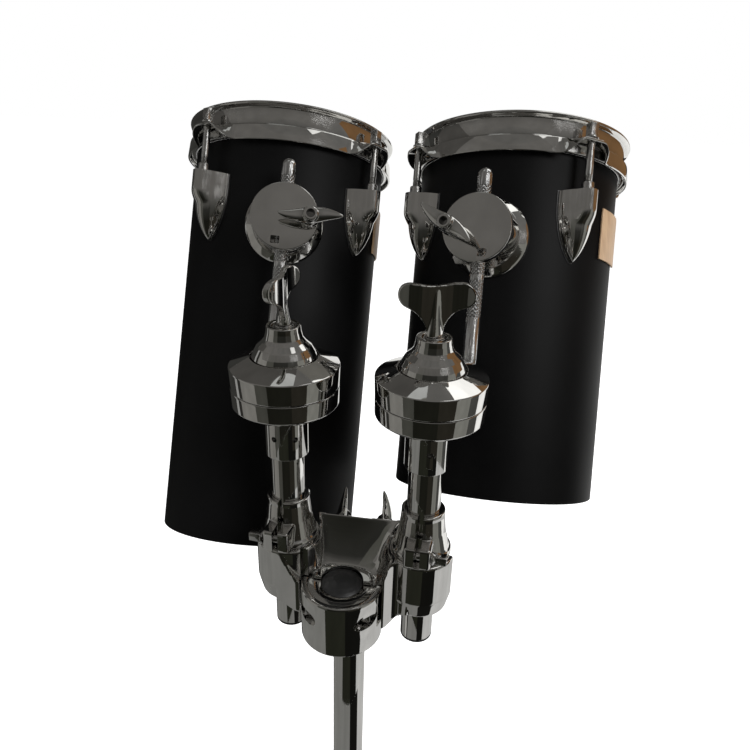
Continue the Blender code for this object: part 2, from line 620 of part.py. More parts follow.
def make_dome(name, side, parent):
    """Domed pressure cap with its neck, whose flange lies under the upper housing's cone."""
    opening = CONE_TOP_RADIUS - 0.8 * MM
    start = math.degrees(math.acos(opening / DOME_RADIUS))
    end = math.degrees(math.acos(NECK_RADIUS / DOME_RADIUS))
    outer = arc((0, DOME_CENTRE), DOME_RADIUS, start, end, 4)
    hollow = arc((0, DOME_CENTRE), DOME_RADIUS - DOME_WALL, 78, DOME_FLANGE_ANGLE, 4)
    step = DOME_FLANGE_RADIUS + 0.5 * MM
    flange_top = HOUSING_RIM - HOUSING_WALL + CONE_SLOPE * (HOUSING_RADIUS - step) - 2 * GAP
    bore = TOP_BOLT_RADIUS + GAP
    outline = [(bore, NECK_TOP), (bore, hollow[0][1])] + hollow
    outline += [(DOME_FLANGE_RADIUS, hollow[-1][1]), (DOME_FLANGE_RADIUS, flange_top), (opening, flange_top)]
    outline += outer + [(NECK_RADIUS, NECK_TOP - 0.8 * MM), (NECK_RADIUS - 0.8 * MM, NECK_TOP)]
    add(f"{name}_dome", lathe(outline, 24), CHROME, post_matrix(side), parent)


def make_top_bolt(name, side, parent):
    matrix = post_matrix(side) @ place(0, 0, NECK_TOP + GAP) @ turned("Z", TOP_WING_SPIN[name])
    winged_bolt(f"{name}_top_wing_bolt", matrix, parent, TOP_WING_SPAN, TOP_WING_HEIGHT, TOP_WING_BARREL,
                TOP_BOLT_RADIUS, NECK_TOP - BALL_HEIGHT - BALL_RADIUS, TOP_WING_THICKNESS)


def make_ball(name, side, parent):
    ball, foot, _ = leg_direction(side)
    outline = [(0, -BALL_RADIUS)] + arc((0, 0), BALL_RADIUS, -70, 70, 7) + [(0, BALL_RADIUS)]
    made = add(f"{name}_ball", lathe(outline, 18), NYLON, Matrix.Translation(ball), parent)
    socket = cylinder(ROD_RADIUS + GAP, -BALL_SOCKET, BALL_RADIUS + 5 * MM, 16)
    cut(made, socket, axis_matrix(ball, foot - ball))


def make_rod(name, side, parent):
    """L-rod from inside the ball, level to the bend, then up along the drum to a rounded tip."""
    ball, foot, along = leg_direction(side)
    leg = (foot - ball).normalized()
    opening = leg.angle(along)
    tangent = ROD_BEND * math.tan(opening / 2)
    normal = (along - leg * along.dot(leg)).normalized()
    centre = foot - leg * tangent + normal * ROD_BEND
    points = [ball - leg * (BALL_SOCKET - GAP), ball + leg * ROD_RADIUS]
    for i in range(9):
        t = opening * i / 8
        points.append(centre - normal * ROD_BEND * math.cos(t) + leg * ROD_BEND * math.sin(t))
    tip_height = SHELL_LENGTHS[name] - BRACKET_DROP + ROD_ABOVE_BRACKET
    tip = drum_matrix(name) @ Vector((0, -(SHELL_RADIUS + ROD_STANDOFF), tip_height))
    points += [foot + along * (tangent + 20 * MM), tip - along * ROD_RADIUS]
    radii = [ROD_RADIUS] * len(points)
    for down, share in ((0.44, 0.83), (0.12, 0.5), (0, 0.15)):
        points.append(tip - along * ROD_RADIUS * down)
        radii.append(ROD_RADIUS * share)
    frame = axis_matrix(ball, leg)
    local = frame.inverted()
    add(f"{name}_l_rod", sweep([local @ point for point in points], radii, 12), CHROME, frame, parent)


def drum_matrix(name):
    """The drum's frame: Z up its axis from the shell's lower edge, -Y towards the bracket."""
    side = SIDES[name]
    lean = turned("X", -DRUM_LEAN)
    top = Vector((side * DRUM_X, DRUM_TOP_Y, DRUM_TOP_Z))
    base = top - (lean.to_3x3() @ Vector((0, 0, SHELL_LENGTHS[name])))
    return Matrix.Translation(base) @ lean @ turned("Z", -side * DRUM_TURN)


def make_shell(name, drum, parent):
    """Open tube with a bearing edge at its top."""
    length = SHELL_LENGTHS[name]
    inner = SHELL_RADIUS - SHELL_WALL
    profile = [(inner, 0), (SHELL_RADIUS - 0.6 * MM, 0), (SHELL_RADIUS, 0.6 * MM)]
    profile += [(SHELL_RADIUS, length - 1 * MM), (SHELL_RADIUS - 1 * MM, length)]
    profile += [(SHELL_RADIUS - 2 * MM, length), (inner, length - 3.5 * MM)]
    add(f"{name}_shell", lathe(profile, 48), BLACK, drum, parent)


def make_head(name, drum, parent):
    """Film over the bearing edge, with the flesh hoop that the counterhoop pulls on."""
    length = SHELL_LENGTHS[name]
    top = length + GAP
    skirt = HEAD_FIT + HEAD_THICKNESS
    low = length - FLESH_HOOP_BOTTOM
    high = length - FLESH_HOOP_TOP
    outline = [(0, top), (SHELL_RADIUS - 1 * MM, top), (HEAD_FIT, length - 1 * MM), (HEAD_FIT, low)]
    outline += [(FLESH_HOOP_RADIUS, low), (FLESH_HOOP_RADIUS, high), (skirt, high)]
    outline += [(skirt, length - 0.6 * MM), (SHELL_RADIUS - 0.6 * MM, top + HEAD_THICKNESS)]
    outline += [(0, top + HEAD_THICKNESS)]
    add(f"{name}_head", lathe(outline, 48), FILM, drum, parent)


def hoop_slope(azimuth):
    """Slope of the hoop's lower flange: hanging down between the ears, nearly level at them."""
    nearest = min(abs((azimuth - ear + 180) % 360 - 180) for ear in LUG_AZIMUTHS)
    share = min(max((nearest - 5) / 10, 0), 1)
    share = share * share * (3 - 2 * share)
    return math.radians(-EAR_SLOPE - (SKIRT_SLOPE - EAR_SLOPE) * share)


def hoop_section(slope, length):
    """Outline of the hoop in (radius, height) where its lower flange has this slope."""
    shelf = length - HOOP_SHELF_DROP
    top = length + HOOP_RISE
    end = (HOOP_SKIRT_RADIUS + EAR_LENGTH * math.cos(slope), shelf + EAR_LENGTH * math.sin(slope))
    sheet = 0.95 * HOOP_THICKNESS
    inner_end = (end[0] + sheet * math.sin(slope), end[1] - sheet * math.cos(slope))
    if slope < math.radians(-60):
        inner_end = (end[0] - HOOP_THICKNESS, end[1])
    section = [(HOOP_BAND_RADIUS - 0.3 * MM, top), (LIP_RADIUS, top), (LIP_RADIUS, top - LIP_HEIGHT)]
    section += [(HOOP_BAND_RADIUS, top - LIP_HEIGHT - 1 * MM), (HOOP_BAND_RADIUS, shelf)]
    section += [(HOOP_SKIRT_RADIUS, shelf), end, inner_end]
    section += [(HOOP_SKIRT_RADIUS - 1 * MM, shelf - HOOP_THICKNESS), (HOOP_INSIDE, shelf - HOOP_THICKNESS)]
    return section + [(HOOP_INSIDE, top - 1.2 * MM)]


def make_hoop(name, drum, parent):
    """Pressed steel counterhoop: rolled lip, recessed band, and a skirt that turns out into four ears."""
    length = SHELL_LENGTHS[name]
    offsets = (-15, -11.5, -8.5, -5, 0, 5, 8.5, 11.5, 15, 24, 33, 42, 51, 60, 67.5)
    azimuths = [ear + offset for ear in sorted(a % 360 for a in LUG_AZIMUTHS) for offset in offsets]
    bm = bmesh.new()
    rings = []
    for azimuth in azimuths:
        t = math.radians(azimuth)
        section = hoop_section(hoop_slope(azimuth), length)
        rings.append([bm.verts.new((r * math.sin(t), -r * math.cos(t), z)) for r, z in section])
    skin(bm, rings, True)
    hoop = add(f"{name}_hoop", bm, CHROME, drum, parent)
    for azimuth in LUG_AZIMUTHS:
        hole = drum @ turned("Z", azimuth) @ place(0, -TENSION_CIRCLE, 0)
        cut(hoop, cylinder(TENSION_RADIUS + 0.6 * MM, length - HOOP_RISE, length, 12), hole)


def lug_shape(top):
    """Pointed casting that tapers down the shell, on a seat curved to it."""
    seat = SHELL_RADIUS + 2 * GAP
    taper = [(0, 1.0, 1.0), (0.04, 1.02, 1.04), (0.25, 0.98, 1.0), (0.45, 0.84, 0.86)]
    taper += [(0.65, 0.62, 0.62), (0.82, 0.38, 0.40), (0.95, 0.18, 0.22), (1.0, 0.08, 0.12)]
    bm = bmesh.new()
    rings = []
    for share, width, depth in taper:
        half = LUG_HALF_WIDTH * width
        across = [half * k / 2 for k in range(-2, 3)]
        points = [(x, -math.sqrt(seat * seat - x * x)) for x in across]
        for k in range(1, 6):
            t = math.pi * k / 6
            points.append((half * math.cos(t), 0.4 * MM - seat - LUG_DEPTH * depth * math.sin(t) ** 0.8))
        rings.append([bm.verts.new((x, y, top - LUG_LENGTH * share)) for x, y in points])
    skin(bm, rings, False)
    return bm


def make_lugs(name, drum, parent):
    """Four lugs, each with the sleeve that a tension rod screws into, and the rods."""
    length = SHELL_LENGTHS[name]
    top = length - LUG_DROP
    rod_seat = length - HOOP_SHELF_DROP
    for index, azimuth in enumerate(LUG_AZIMUTHS):
        frame = drum @ turned("Z", azimuth)
        lug = add(f"{name}_lug_{index + 1}", lug_shape(top), CHROME, frame, parent)
        axis = frame @ place(0, -TENSION_CIRCLE, 0)
        sleeve_top = top + LUG_SLEEVE_RISE
        join(lug, cylinder(LUG_SLEEVE_RADIUS, top - LUG_SLEEVE_DEPTH, sleeve_top, 14), axis)
        cut(lug, cylinder(TENSION_RADIUS + GAP, top - LUG_BORE_DEPTH, sleeve_top + MM, 12), axis)
        key_bolt(f"{name}_tension_rod_{index + 1}", axis @ place(0, 0, rod_seat), parent, TENSION_RADIUS,
                 rod_seat - top + LUG_BORE_DEPTH - 2 * MM, TENSION_HEAD, TENSION_HEAD_HEIGHT)


def make_badge(name, drum, parent):
    """Plain wooden plate, curved to the shell."""
    middle = SHELL_LENGTHS[name] - BADGE_DROP
    half = math.degrees(BADGE_SIZE / 2 / SHELL_RADIUS)
    inner = arc((0, 0), SHELL_RADIUS + GAP, -half, half, 6)
    outer = arc((0, 0), SHELL_RADIUS + GAP + BADGE_THICKNESS, half, -half, 6)
    plate = prism(inner + outer, middle - BADGE_SIZE / 2, middle + BADGE_SIZE / 2)
    add(f"{name}_badge", plate, WOOD, drum @ turned("Z", BADGE_AZIMUTH - 90), parent)


def bracket_matrix(name, drum):
    """The bracket's frame: Z out of the shell, Y up the drum."""
    return drum @ place(0, -SHELL_RADIUS, SHELL_LENGTHS[name] - BRACKET_DROP) @ turned("X", 90)


def make_bracket(name, side, drum, parent):
    """Flanged base on the shell, and the disc that clamps the sleeve and the rod against it."""
    frame = bracket_matrix(name, drum)
    rod_frame = frame @ place(0, 0, ROD_STANDOFF) @ turned("X", 90)
    screw_frame = frame @ place(-side * BRACKET_SCREW_X, 0, 0)
    outline = [(0, -3 * MM), (FLANGE_RADIUS, -3 * MM), (FLANGE_RADIUS, FLANGE_EDGE)]
    outline += [(FLANGE_RADIUS - FLANGE_SLOPE, FLANGE_HEIGHT), (0, FLANGE_HEIGHT)]
    base = add(f"{name}_bracket_base", lathe(outline, 36), CHROME, frame, parent)
    oval = [(x, y * NECK_FLATTEN) for x, y in arc((0, 0), NECK_HALF_LENGTH, 0, 360, 28)[:-1]]
    join(base, prism(oval, FLANGE_HEIGHT - 1.5 * MM, BRACKET_NECK_TOP), frame)
    shell_axis = frame @ place(0, 0, -SHELL_RADIUS) @ turned("X", 90)
    cut(base, cylinder(SHELL_RADIUS + GAP, -60 * MM, 60 * MM, 72), shell_axis)
    cut(base, cylinder(SLEEVE_FIT, -40 * MM, 40 * MM, 20), rod_frame)
    cut(base, cylinder(BRACKET_SCREW_RADIUS + GAP, 11 * MM, 30 * MM, 14), screw_frame)
    disc_back = DISC_FRONT - DISC_THICKNESS
    outline = [(0, DISC_HUB_BOTTOM), (DISC_HUB_RADIUS, DISC_HUB_BOTTOM)]
    outline += [(DISC_HUB_RADIUS + 1 * MM, disc_back), (DISC_RADIUS - 0.6 * MM, disc_back)]
    outline += [(DISC_RADIUS, disc_back + 0.6 * MM)]
    outline += [(DISC_RADIUS, DISC_FRONT - 0.8 * MM), (DISC_RADIUS - 0.8 * MM, DISC_FRONT), (0, DISC_FRONT)]
    disc = add(f"{name}_bracket_disc", lathe(outline, 40), CHROME, frame, parent)
    cut(disc, cylinder(SLEEVE_FIT, -40 * MM, 40 * MM, 20), rod_frame)
    cut(disc, cylinder(BRACKET_SCREW_RADIUS + GAP, 20 * MM, 45 * MM, 14), screw_frame)


def make_sleeve(name, drum, parent):
    """Thin liner between the L-rod and the bracket."""
    rod_frame = bracket_matrix(name, drum) @ place(0, 0, ROD_STANDOFF) @ turned("X", 90)
    half = SLEEVE_LENGTH / 2
    inner = ROD_RADIUS + GAP
    outer = inner + SLEEVE_WALL
    profile = [(inner, -half), (outer, -half), (outer, half), (inner, half)]
    add(f"{name}_rod_sleeve", lathe(profile, 20), NYLON, rod_frame, parent)


def make_bracket_screw(name, side, drum, parent):
    """Wing screw with a flat pointed leaf each way and a blind hole in its hub."""
    seat = place(-side * BRACKET_SCREW_X, 0, DISC_FRONT + GAP) @ turned("Z", SCREW_SPIN[name])
    matrix = bracket_matrix(name, drum) @ seat
    rim = SCREW_HUB_HEIGHT - 0.6 * MM
    outline = [(0, -BRACKET_SCREW_LENGTH), (BRACKET_SCREW_RADIUS, -BRACKET_SCREW_LENGTH)]
    outline += [(BRACKET_SCREW_RADIUS, 0), (6.2 * MM, 0), (5.4 * MM, 5 * MM), (5.2 * MM, rim)]
    outline += [(3.2 * MM, SCREW_HUB_HEIGHT), (3 * MM, 13 * MM), (0, 12.6 * MM)]
    screw = add(f"{name}_bracket_wing_screw", lathe(outline, 16), CHROME, matrix, parent)
    leaf = [(SCREW_LEAF_HALF, 1.2 * MM), (14 * MM, 2.6 * MM), (8 * MM, 4.4 * MM), (4 * MM, 5.0 * MM)]
    leaf += [(-x, y) for x, y in reversed(leaf)]
    leaf += [(-x, -y) for x, y in leaf]
    join(screw, prism(leaf, SCREW_LEAF_BOTTOM, SCREW_LEAF_TOP), matrix)
    cut(screw, cylinder(3 * MM, 12.6 * MM, 20 * MM, 14), matrix)


def make_side(name, side, clamp):
    """One arm's chain of joints, from its bolts to the drum and its rods."""
    make_arm_bolt(name, side, clamp)
    lock = pivot(f"{name}_lock_pivot", post_matrix(side) @ place(0, 0, ARM_TOP), clamp)
    make_lock(name, side, lock)
    post = pivot(f"{name}_post_pivot", post_matrix(side) @ place(0, 0, POST_TOP), lock)
    make_post(name, side, post)
    make_housing(name, side, post)
    make_dome(name, side, post)
    make_top_bolt(name, side, post)
    ball_centre, foot, along = leg_direction(side)
    ball = pivot(f"{name}_ball_pivot", Matrix.Translation(ball_centre), post)
    make_ball(name, side, ball)
    rod = pivot(f"{name}_rod_pivot", axis_matrix(ball_centre, foot - ball_centre), ball)
    make_rod(name, side, rod)
    drum = drum_matrix(name)
    height = SHELL_LENGTHS[name] - BRACKET_DROP
    upright = axis_matrix(drum @ Vector((0, -(SHELL_RADIUS + ROD_STANDOFF), height)), along)
    sleeve = pivot(f"{name}_sleeve_pivot", upright, rod)
    make_sleeve(name, drum, sleeve)
    swing = pivot(f"{name}_drum_pivot", upright, sleeve)
    make_shell(name, drum, swing)
    make_head(name, drum, swing)
    make_hoop(name, drum, swing)
    make_lugs(name, drum, swing)
    make_badge(name, drum, swing)
    make_bracket(name, side, drum, swing)
    make_bracket_screw(name, side, drum, swing)


def main():
    make_pole()
    clamp = pivot("clamp_pivot", place(0, 0, CLAMP_BOTTOM))
    make_clamp(clamp)
    make_cap(clamp)
    make_plug(clamp)
    for name, side in SIDES.items():
        make_side(name, side, clamp)


for old in list(bpy.data.objects):
    bpy.data.objects.remove(old, do_unlink=True)

CHROME = material("chrome", (0.72, 0.71, 0.68), 0.06, 1.0)
STEEL = material("plated_steel", (0.62, 0.61, 0.58), 0.18, 1.0)
BLACK = material("matte_black_shell", (0.012, 0.012, 0.013), 0.55, 0.0)
RUBBER = material("black_rubber", (0.015, 0.015, 0.015), 0.6, 0.0)
NYLON = material("black_nylon", (0.02, 0.02, 0.02), 0.45, 0.0)
FILM = material("drumhead_film", (0.82, 0.82, 0.80), 0.5, 0.0)
WOOD = material("badge_wood", (0.30, 0.17, 0.08), 0.5, 0.0)

main()
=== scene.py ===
"""Looks for the pair of octobans: finer pieces, materials, floor, light and camera.

Metres, +Z up, in the CAD part's frame. The driving sizes repeat the CAD part's.
"""
import json
import math

import bmesh
import bpy
from mathutils import Matrix, Vector


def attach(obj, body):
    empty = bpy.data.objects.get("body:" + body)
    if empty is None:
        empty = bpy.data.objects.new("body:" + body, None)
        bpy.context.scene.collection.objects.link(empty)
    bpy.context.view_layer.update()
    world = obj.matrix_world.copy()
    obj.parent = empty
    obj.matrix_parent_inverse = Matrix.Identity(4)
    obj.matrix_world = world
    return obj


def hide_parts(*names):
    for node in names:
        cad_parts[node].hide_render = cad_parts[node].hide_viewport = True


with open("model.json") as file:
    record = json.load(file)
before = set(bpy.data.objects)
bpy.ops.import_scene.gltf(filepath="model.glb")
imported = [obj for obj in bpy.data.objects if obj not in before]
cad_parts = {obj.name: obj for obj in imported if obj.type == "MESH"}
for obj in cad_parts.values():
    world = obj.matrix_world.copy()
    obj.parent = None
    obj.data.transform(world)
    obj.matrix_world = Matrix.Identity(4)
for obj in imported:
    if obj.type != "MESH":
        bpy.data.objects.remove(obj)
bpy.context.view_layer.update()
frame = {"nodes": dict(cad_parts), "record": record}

RECORD = frame["record"]
BODY_OF = {node: body for body, nodes in RECORD["behaviour"]["bodies"].items() for node in nodes}
SLOT_OF = {row["node"]: row["material_slot"] for row in RECORD["subparts"]}

MM = 0.001
GAP = 0.3 * MM
SIDES = {"left": -1, "right": 1}

# Camera, fitted to the photograph
CAMERA_PLACE = Vector((67.3, -368.0, 673.8)) * MM
CAMERA_TURN = 8.34
CAMERA_PITCH = 24.39
CAMERA_ROLL = -1.54
CAMERA_LENS = 33.6

# Pole, posts and clamp
TUBE_RADIUS = 11.1 * MM
TUBE_INSIDE = 9.3 * MM
TUBE_FIT = TUBE_RADIUS + GAP
POLE_TOP = 330.0 * MM
SEAT_X = -5.5 * MM
PLUG_SEAT = 345.0 * MM
PLUG_RADIUS = 14.2 * MM
PLUG_STEM_RADIUS = 9.0 * MM
POST_X = 45.6 * MM
POST_Y = 15.7 * MM
POST_BOTTOM = 301.0 * MM
POST_TOP = 465.0 * MM
CLAMP_BOTTOM = 309.0 * MM
CLAMP_SEAT_TOP = 350.0 * MM
CLAMP_BACK_Y = 32.5 * MM
CAP_BOLT_X = 19.5 * MM
CAP_BOLT_HEIGHT = 334.0 * MM
CAP_RADIUS = 28.0 * MM
CAP_RECESS_FLOOR = 9.0 * MM
ARM_BOTTOM = 331.0 * MM
ARM_TOP = 373.0 * MM
ARM_RADIUS = 22.5 * MM
ARM_RELIEF = 14.0 * MM
ARM_BOLT_HEIGHT = 361.0 * MM
ARM_BOLT_TURN = 37.0
ARM_BOLT_HUB = 37.5 * MM
ARM_WING_SPIN = 88.0

# Memory locks
LOCK_BOTTOM = ARM_TOP + GAP
LOCK_HEIGHT = 33.0 * MM
LOCK_FOOT_RADIUS = 20.0 * MM
LOCK_TOP_RADIUS = 14.4 * MM
LOCK_EAR_HEIGHT = 20.0 * MM
LOCK_EAR_WIDTH = 18.0 * MM
LOCK_EAR_REACH = 26.5 * MM
LOCK_BOLT_OUT = 22.0 * MM
LOCK_TURN = {"left": -6.0, "right": -2.0}

# Ball joints
COLLAR_RADIUS = 14.3 * MM
COLLAR_BOTTOM = 438.5 * MM
HOUSING_BOTTOM = 473.0 * MM
HOUSING_PARTING = 486.7 * MM
HOUSING_RIM = 500.5 * MM
HOUSING_RADIUS = 34.5 * MM
HOUSING_WALL = 3.0 * MM
BALL_HEIGHT = 487.0 * MM
BALL_RADIUS = 15.0 * MM
NECK_TOP = 526.0 * MM
WING_RISE = 33.0 * MM
TOP_WING_SPIN = {"left": 80.0, "right": 4.0}

# L-rods
ROD_RADIUS = 5.0 * MM
ROD_BEND = 12.0 * MM
ROD_STANDOFF = 22.0 * MM
ROD_ABOVE_BRACKET = 42.0 * MM
KNURL_BANDS = ((-58 * MM, -33 * MM), (-29.5 * MM, 30 * MM))
KNURL_STARTS = 12
KNURL_DEPTH = 0.55 * MM

# Drums
SHELL_RADIUS = 75.0 * MM
SHELL_WALL = 5.0 * MM
SHELL_LENGTHS = {"left": 305.0 * MM, "right": 254.0 * MM}
DRUM_X = 92.0 * MM
DRUM_TOP_Y = 215.002 * MM
DRUM_TOP_Z = 599.0 * MM
DRUM_LEAN = 25.0
DRUM_TURN = 15.0
HOOP_RISE = 12.0 * MM
HOOP_THICKNESS = 1.6 * MM
HOOP_BAND = 78.3 * MM
HOOP_SKIRT = 81.2 * MM
LIP_RADIUS = 82.2 * MM
EAR_LENGTH = 11.5 * MM
LUG_AZIMUTHS = (-45, 45, 135, -135)
LUG_DROP = 39.0 * MM
LUG_LENGTH = 48.0 * MM
LUG_HALF_WIDTH = 13.2 * MM
LUG_SEAT = SHELL_RADIUS + 2 * GAP
TENSION_RADIUS = 2.7 * MM
TENSION_CIRCLE = 87.0 * MM
BADGE_SIZE = 36.0 * MM
BADGE_AZIMUTH = 80.0
BADGE_DROP = 61.0 * MM

# Brackets
BRACKET_DROP = 74.5 * MM
FLANGE_RADIUS = 27.8 * MM
DISC_RADIUS = 23.0 * MM
DISC_FRONT = 33.5 * MM
DISC_BACK = 28.5 * MM
SLEEVE_FIT = 6.5 * MM
BRACKET_SCREW_X = 17.0 * MM
SCREW_SPIN = {"left": 3.0, "right": -36.0}

# Studio cards, seen in reflections only: turn from the camera's side towards +X and height
# above the level, both in degrees, then brightness
ROOM_CENTRE = Vector((0, 30, 450)) * MM
ROOM_RADIUS = 0.75
CARDS = [
    (-180, -128, -89, -58, (0.04, 0.04, 0.04)),
    (-128, 20, -89, -58, (0.22, 0.22, 0.21)),
    (20, 72, -89, -58, (0.008, 0.008, 0.007)),
    (72, 180, -89, -58, (0.58, 0.58, 0.57)),
    (-180, -127, -58, -34, (0.05, 0.05, 0.05)),
    (-127, -32, -58, -34, (0.22, 0.22, 0.21)),
    (-32, 18, -58, -34, (0.020, 0.021, 0.015)),
    (18, 58, -58, -34, (0.007, 0.007, 0.006)),
    (58, 180, -58, -34, (0.59, 0.59, 0.58)),
    (-180, -162, -34, 22, (0.95, 0.95, 0.93)),
    (-162, -142, -34, 22, (0.07, 0.07, 0.065)),
    (-142, -100, -34, 22, (0.04, 0.04, 0.037)),
    (-100, -92, -34, 22, (0.34, 0.34, 0.33)),
    (-92, -83, -34, 22, (0.03, 0.03, 0.027)),
    (-83, -48, -34, 22, (0.22, 0.215, 0.20)),
    (-48, -24, -34, 0, (0.06, 0.06, 0.052)),
    (-24, 24, -34, 0, (0.012, 0.012, 0.009)),
    (24, 57, -34, 0, (0.024, 0.022, 0.017)),
    (-48, -24, 0, 22, (0.06, 0.06, 0.052), (0.08, 0.08, 0.07)),
    (-24, 24, 0, 22, (0.012, 0.012, 0.009), (0.03, 0.03, 0.027)),
    (24, 60, 0, 22, (0.024, 0.022, 0.017), (0.06, 0.06, 0.055)),
    (57, 86, -34, 22, (0.22, 0.22, 0.20)),
    (86, 108, -34, 8, (0.07, 0.07, 0.065)),
    (108, 150, -34, 8, (1.1, 1.1, 1.08)),
    (150, 162, -34, 22, (0.02, 0.014, 0.009)),
    (162, 180, -34, 22, (0.95, 0.95, 0.93)),
    (86, 150, 8, 38, (0.20, 0.11, 0.05)),
    (150, 180, 22, 38, (0.10, 0.094, 0.085)),
    (-180, -92, 22, 72, (0.075, 0.072, 0.067)),
    (-92, -48, 22, 64, (0.14, 0.135, 0.127)),
    (-48, -24, 22, 42, (0.08, 0.08, 0.07), (0.14, 0.135, 0.127)),
    (-24, 24, 22, 42, (0.03, 0.03, 0.027), (0.14, 0.135, 0.127)),
    (24, 60, 22, 42, (0.06, 0.06, 0.055), (0.14, 0.135, 0.127)),
    (-48, 60, 42, 64, (0.14, 0.135, 0.127)),
    (60, 86, 22, 64, (0.16, 0.155, 0.147)),
    (86, 118, 38, 64, (0.15, 0.147, 0.14)),
    (118, 152, 38, 66, (1.3, 1.3, 1.27)),
    (152, 180, 38, 66, (0.15, 0.145, 0.13)),
    (-92, 60, 64, 90, (0.13, 0.127, 0.12)),
    (60, 118, 64, 75, (1.0, 1.0, 0.98)),
    (60, 118, 75, 90, (0.12, 0.117, 0.11)),
    (118, 180, 66, 90, (0.13, 0.127, 0.12)),
    (-180, -92, 72, 82, (0.47, 0.48, 0.47)),
    (-180, -92, 82, 90, (0.15, 0.145, 0.13)),
]


class Nodes:
    """Short way to build a material's node tree."""

    def __init__(self, material):
        material.use_nodes = True
        self.tree = material.node_tree
        self.tree.nodes.clear()

    def add(self, kind, **values):
        node = self.tree.nodes.new(kind)
        for key, value in values.items():
            setattr(node, key, value)
        return node

    def link(self, source, target):
        self.tree.links.new(source, target)

    def noise(self, scale, detail=4.0, roughness=0.5, stretch=(1, 1, 1), lean=0.0):
        """Noise in the piece's own coordinates, leaned back by some degrees and then stretched."""
        place = self.add("ShaderNodeTexCoord")
        mapping = self.add("ShaderNodeMapping")
        mapping.inputs["Scale"].default_value = stretch
        mapping.inputs["Rotation"].default_value = (math.radians(lean), 0, 0)
        self.link(place.outputs["Object"], mapping.inputs["Vector"])
        node = self.add("ShaderNodeTexNoise")
        node.inputs["Scale"].default_value = scale
        node.inputs["Detail"].default_value = detail
        node.inputs["Roughness"].default_value = roughness
        self.link(mapping.outputs["Vector"], node.inputs["Vector"])
        return node.outputs["Fac"]

    def ramp(self, source, low, low_colour, high, high_colour):
        node = self.add("ShaderNodeValToRGB")
        first, last = node.color_ramp.elements
        first.position, first.color = low, (*low_colour, 1)
        last.position, last.color = high, (*high_colour, 1)
        self.link(source, node.inputs["Fac"])
        return node.outputs["Color"]

    def range(self, source, low, high, to_low, to_high):
        node = self.add("ShaderNodeMapRange")
        limits = {"From Min": low, "From Max": high, "To Min": to_low, "To Max": to_high}
        for key, value in limits.items():
            node.inputs[key].default_value = value
        self.link(source, node.inputs["Value"])
        return node.outputs["Result"]

    def bump(self, height, strength, distance, normal=None):
        node = self.add("ShaderNodeBump")
        node.inputs["Strength"].default_value = strength
        node.inputs["Distance"].default_value = distance
        self.link(height, node.inputs["Height"])
        if normal is not None:
            self.link(normal, node.inputs["Normal"])
        return node.outputs["Normal"]

    def shaded_in_crevices(self, colour):
        """The colour with painted shade: darker in crevices a few millimetres wide, where shade falls."""
        node = self.add("ShaderNodeAmbientOcclusion", samples=4, only_local=True)
        node.inputs["Distance"].default_value = 5 * MM
        self.link(colour, node.inputs["Color"])
        return node.outputs["Color"]

    def principled(self, **inputs):
        node = self.add("ShaderNodeBsdfPrincipled")
        for key, value in inputs.items():
            socket = node.inputs[key.replace("_", " ")]
            if hasattr(value, "is_output"):
                self.link(value, socket)
            else:
                socket.default_value = value
        self.finish(node.outputs["BSDF"], "ShaderNodeOutputMaterial")

    def background_rays(self):
        """1 for rays that should see the plain white surroundings."""
        path = self.add("ShaderNodeLightPath")
        seen = path.outputs["Is Camera Ray"]
        for name in ("Is Glossy Ray", "Is Transmission Ray"):
            either = self.add("ShaderNodeMath", operation="MAXIMUM")
            self.link(seen, either.inputs[0])
            self.link(path.outputs[name], either.inputs[1])
            seen = either.outputs[0]
        return seen

    def finish(self, shader, kind):
        self.link(shader, self.add(kind).inputs["Surface"])


def material(name):
    made = bpy.data.materials.new(name)
    return made, Nodes(made)


def grey(value):
    return (value, value, value)


def chrome():
    """Polished plating with faint smudges and the slight waviness of a casting."""
    made, n = material("chrome_look")
    tint = (0.80, 0.79, 0.77)
    colour = n.ramp(n.noise(38, 6, 0.6), 0.35, tuple(c * 0.94 for c in tint), 0.65, tint)
    rough = n.range(n.noise(120, 3), 0.35, 0.7, 0.02, 0.06)
    normal = n.bump(n.noise(26, 2), 0.02, 0.0006)
    # the plating's colour gets painted shade in its crevices from an ambient occlusion node
    n.principled(Metallic=1.0, Base_Color=n.shaded_in_crevices(colour), Roughness=rough, Normal=normal)
    return made


def knurled_chrome():
    """Plating with a painted highlight on the tips of a knurl and painted shade in its grooves."""
    made, n = material("knurled_chrome_look")
    sharpness = n.add("ShaderNodeNewGeometry").outputs["Pointiness"]
    # painted highlight on the knurl's tips and painted shade in its grooves, set by pointiness
    colour = n.ramp(sharpness, 0.44, grey(0.10), 0.54, grey(0.95))
    rough = n.range(n.noise(120, 3), 0.35, 0.7, 0.10, 0.18)
    n.principled(Metallic=1.0, Base_Color=colour, Roughness=rough)
    return made


def plated_steel():
    """Plating over drawn steel, with fine lines along the tension rods."""
    made, n = material("plated_steel_look")
    lines = n.noise(420, 4, 0.6, (1, 1, 0.2), DRUM_LEAN)
    colour = n.ramp(lines, 0.3, grey(0.56), 0.7, (0.70, 0.685, 0.66))
    rough = n.range(lines, 0.3, 0.7, 0.10, 0.22)
    n.principled(Metallic=1.0, Base_Color=colour, Roughness=rough, Normal=n.bump(lines, 0.06, 0.0002))
    return made


def shell_black():
    """Matte black skin with a very fine grain, rubbed a little unevenly."""
    made, n = material("shell_black_look")
    cloud = n.noise(9, 5, 0.6)
    colour = n.ramp(cloud, 0.3, (0.0016, 0.0016, 0.0017), 0.7, (0.0030, 0.0030, 0.0031))
    rough = n.range(cloud, 0.3, 0.7, 0.44, 0.54)
    grain = n.bump(n.noise(1400, 2), 0.18, 0.0002)
    normal = n.bump(n.noise(60, 3), 0.04, 0.0008, grain)
    n.principled(Base_Color=colour, Roughness=rough, Normal=normal, Specular_IOR_Level=0.08)
    return made


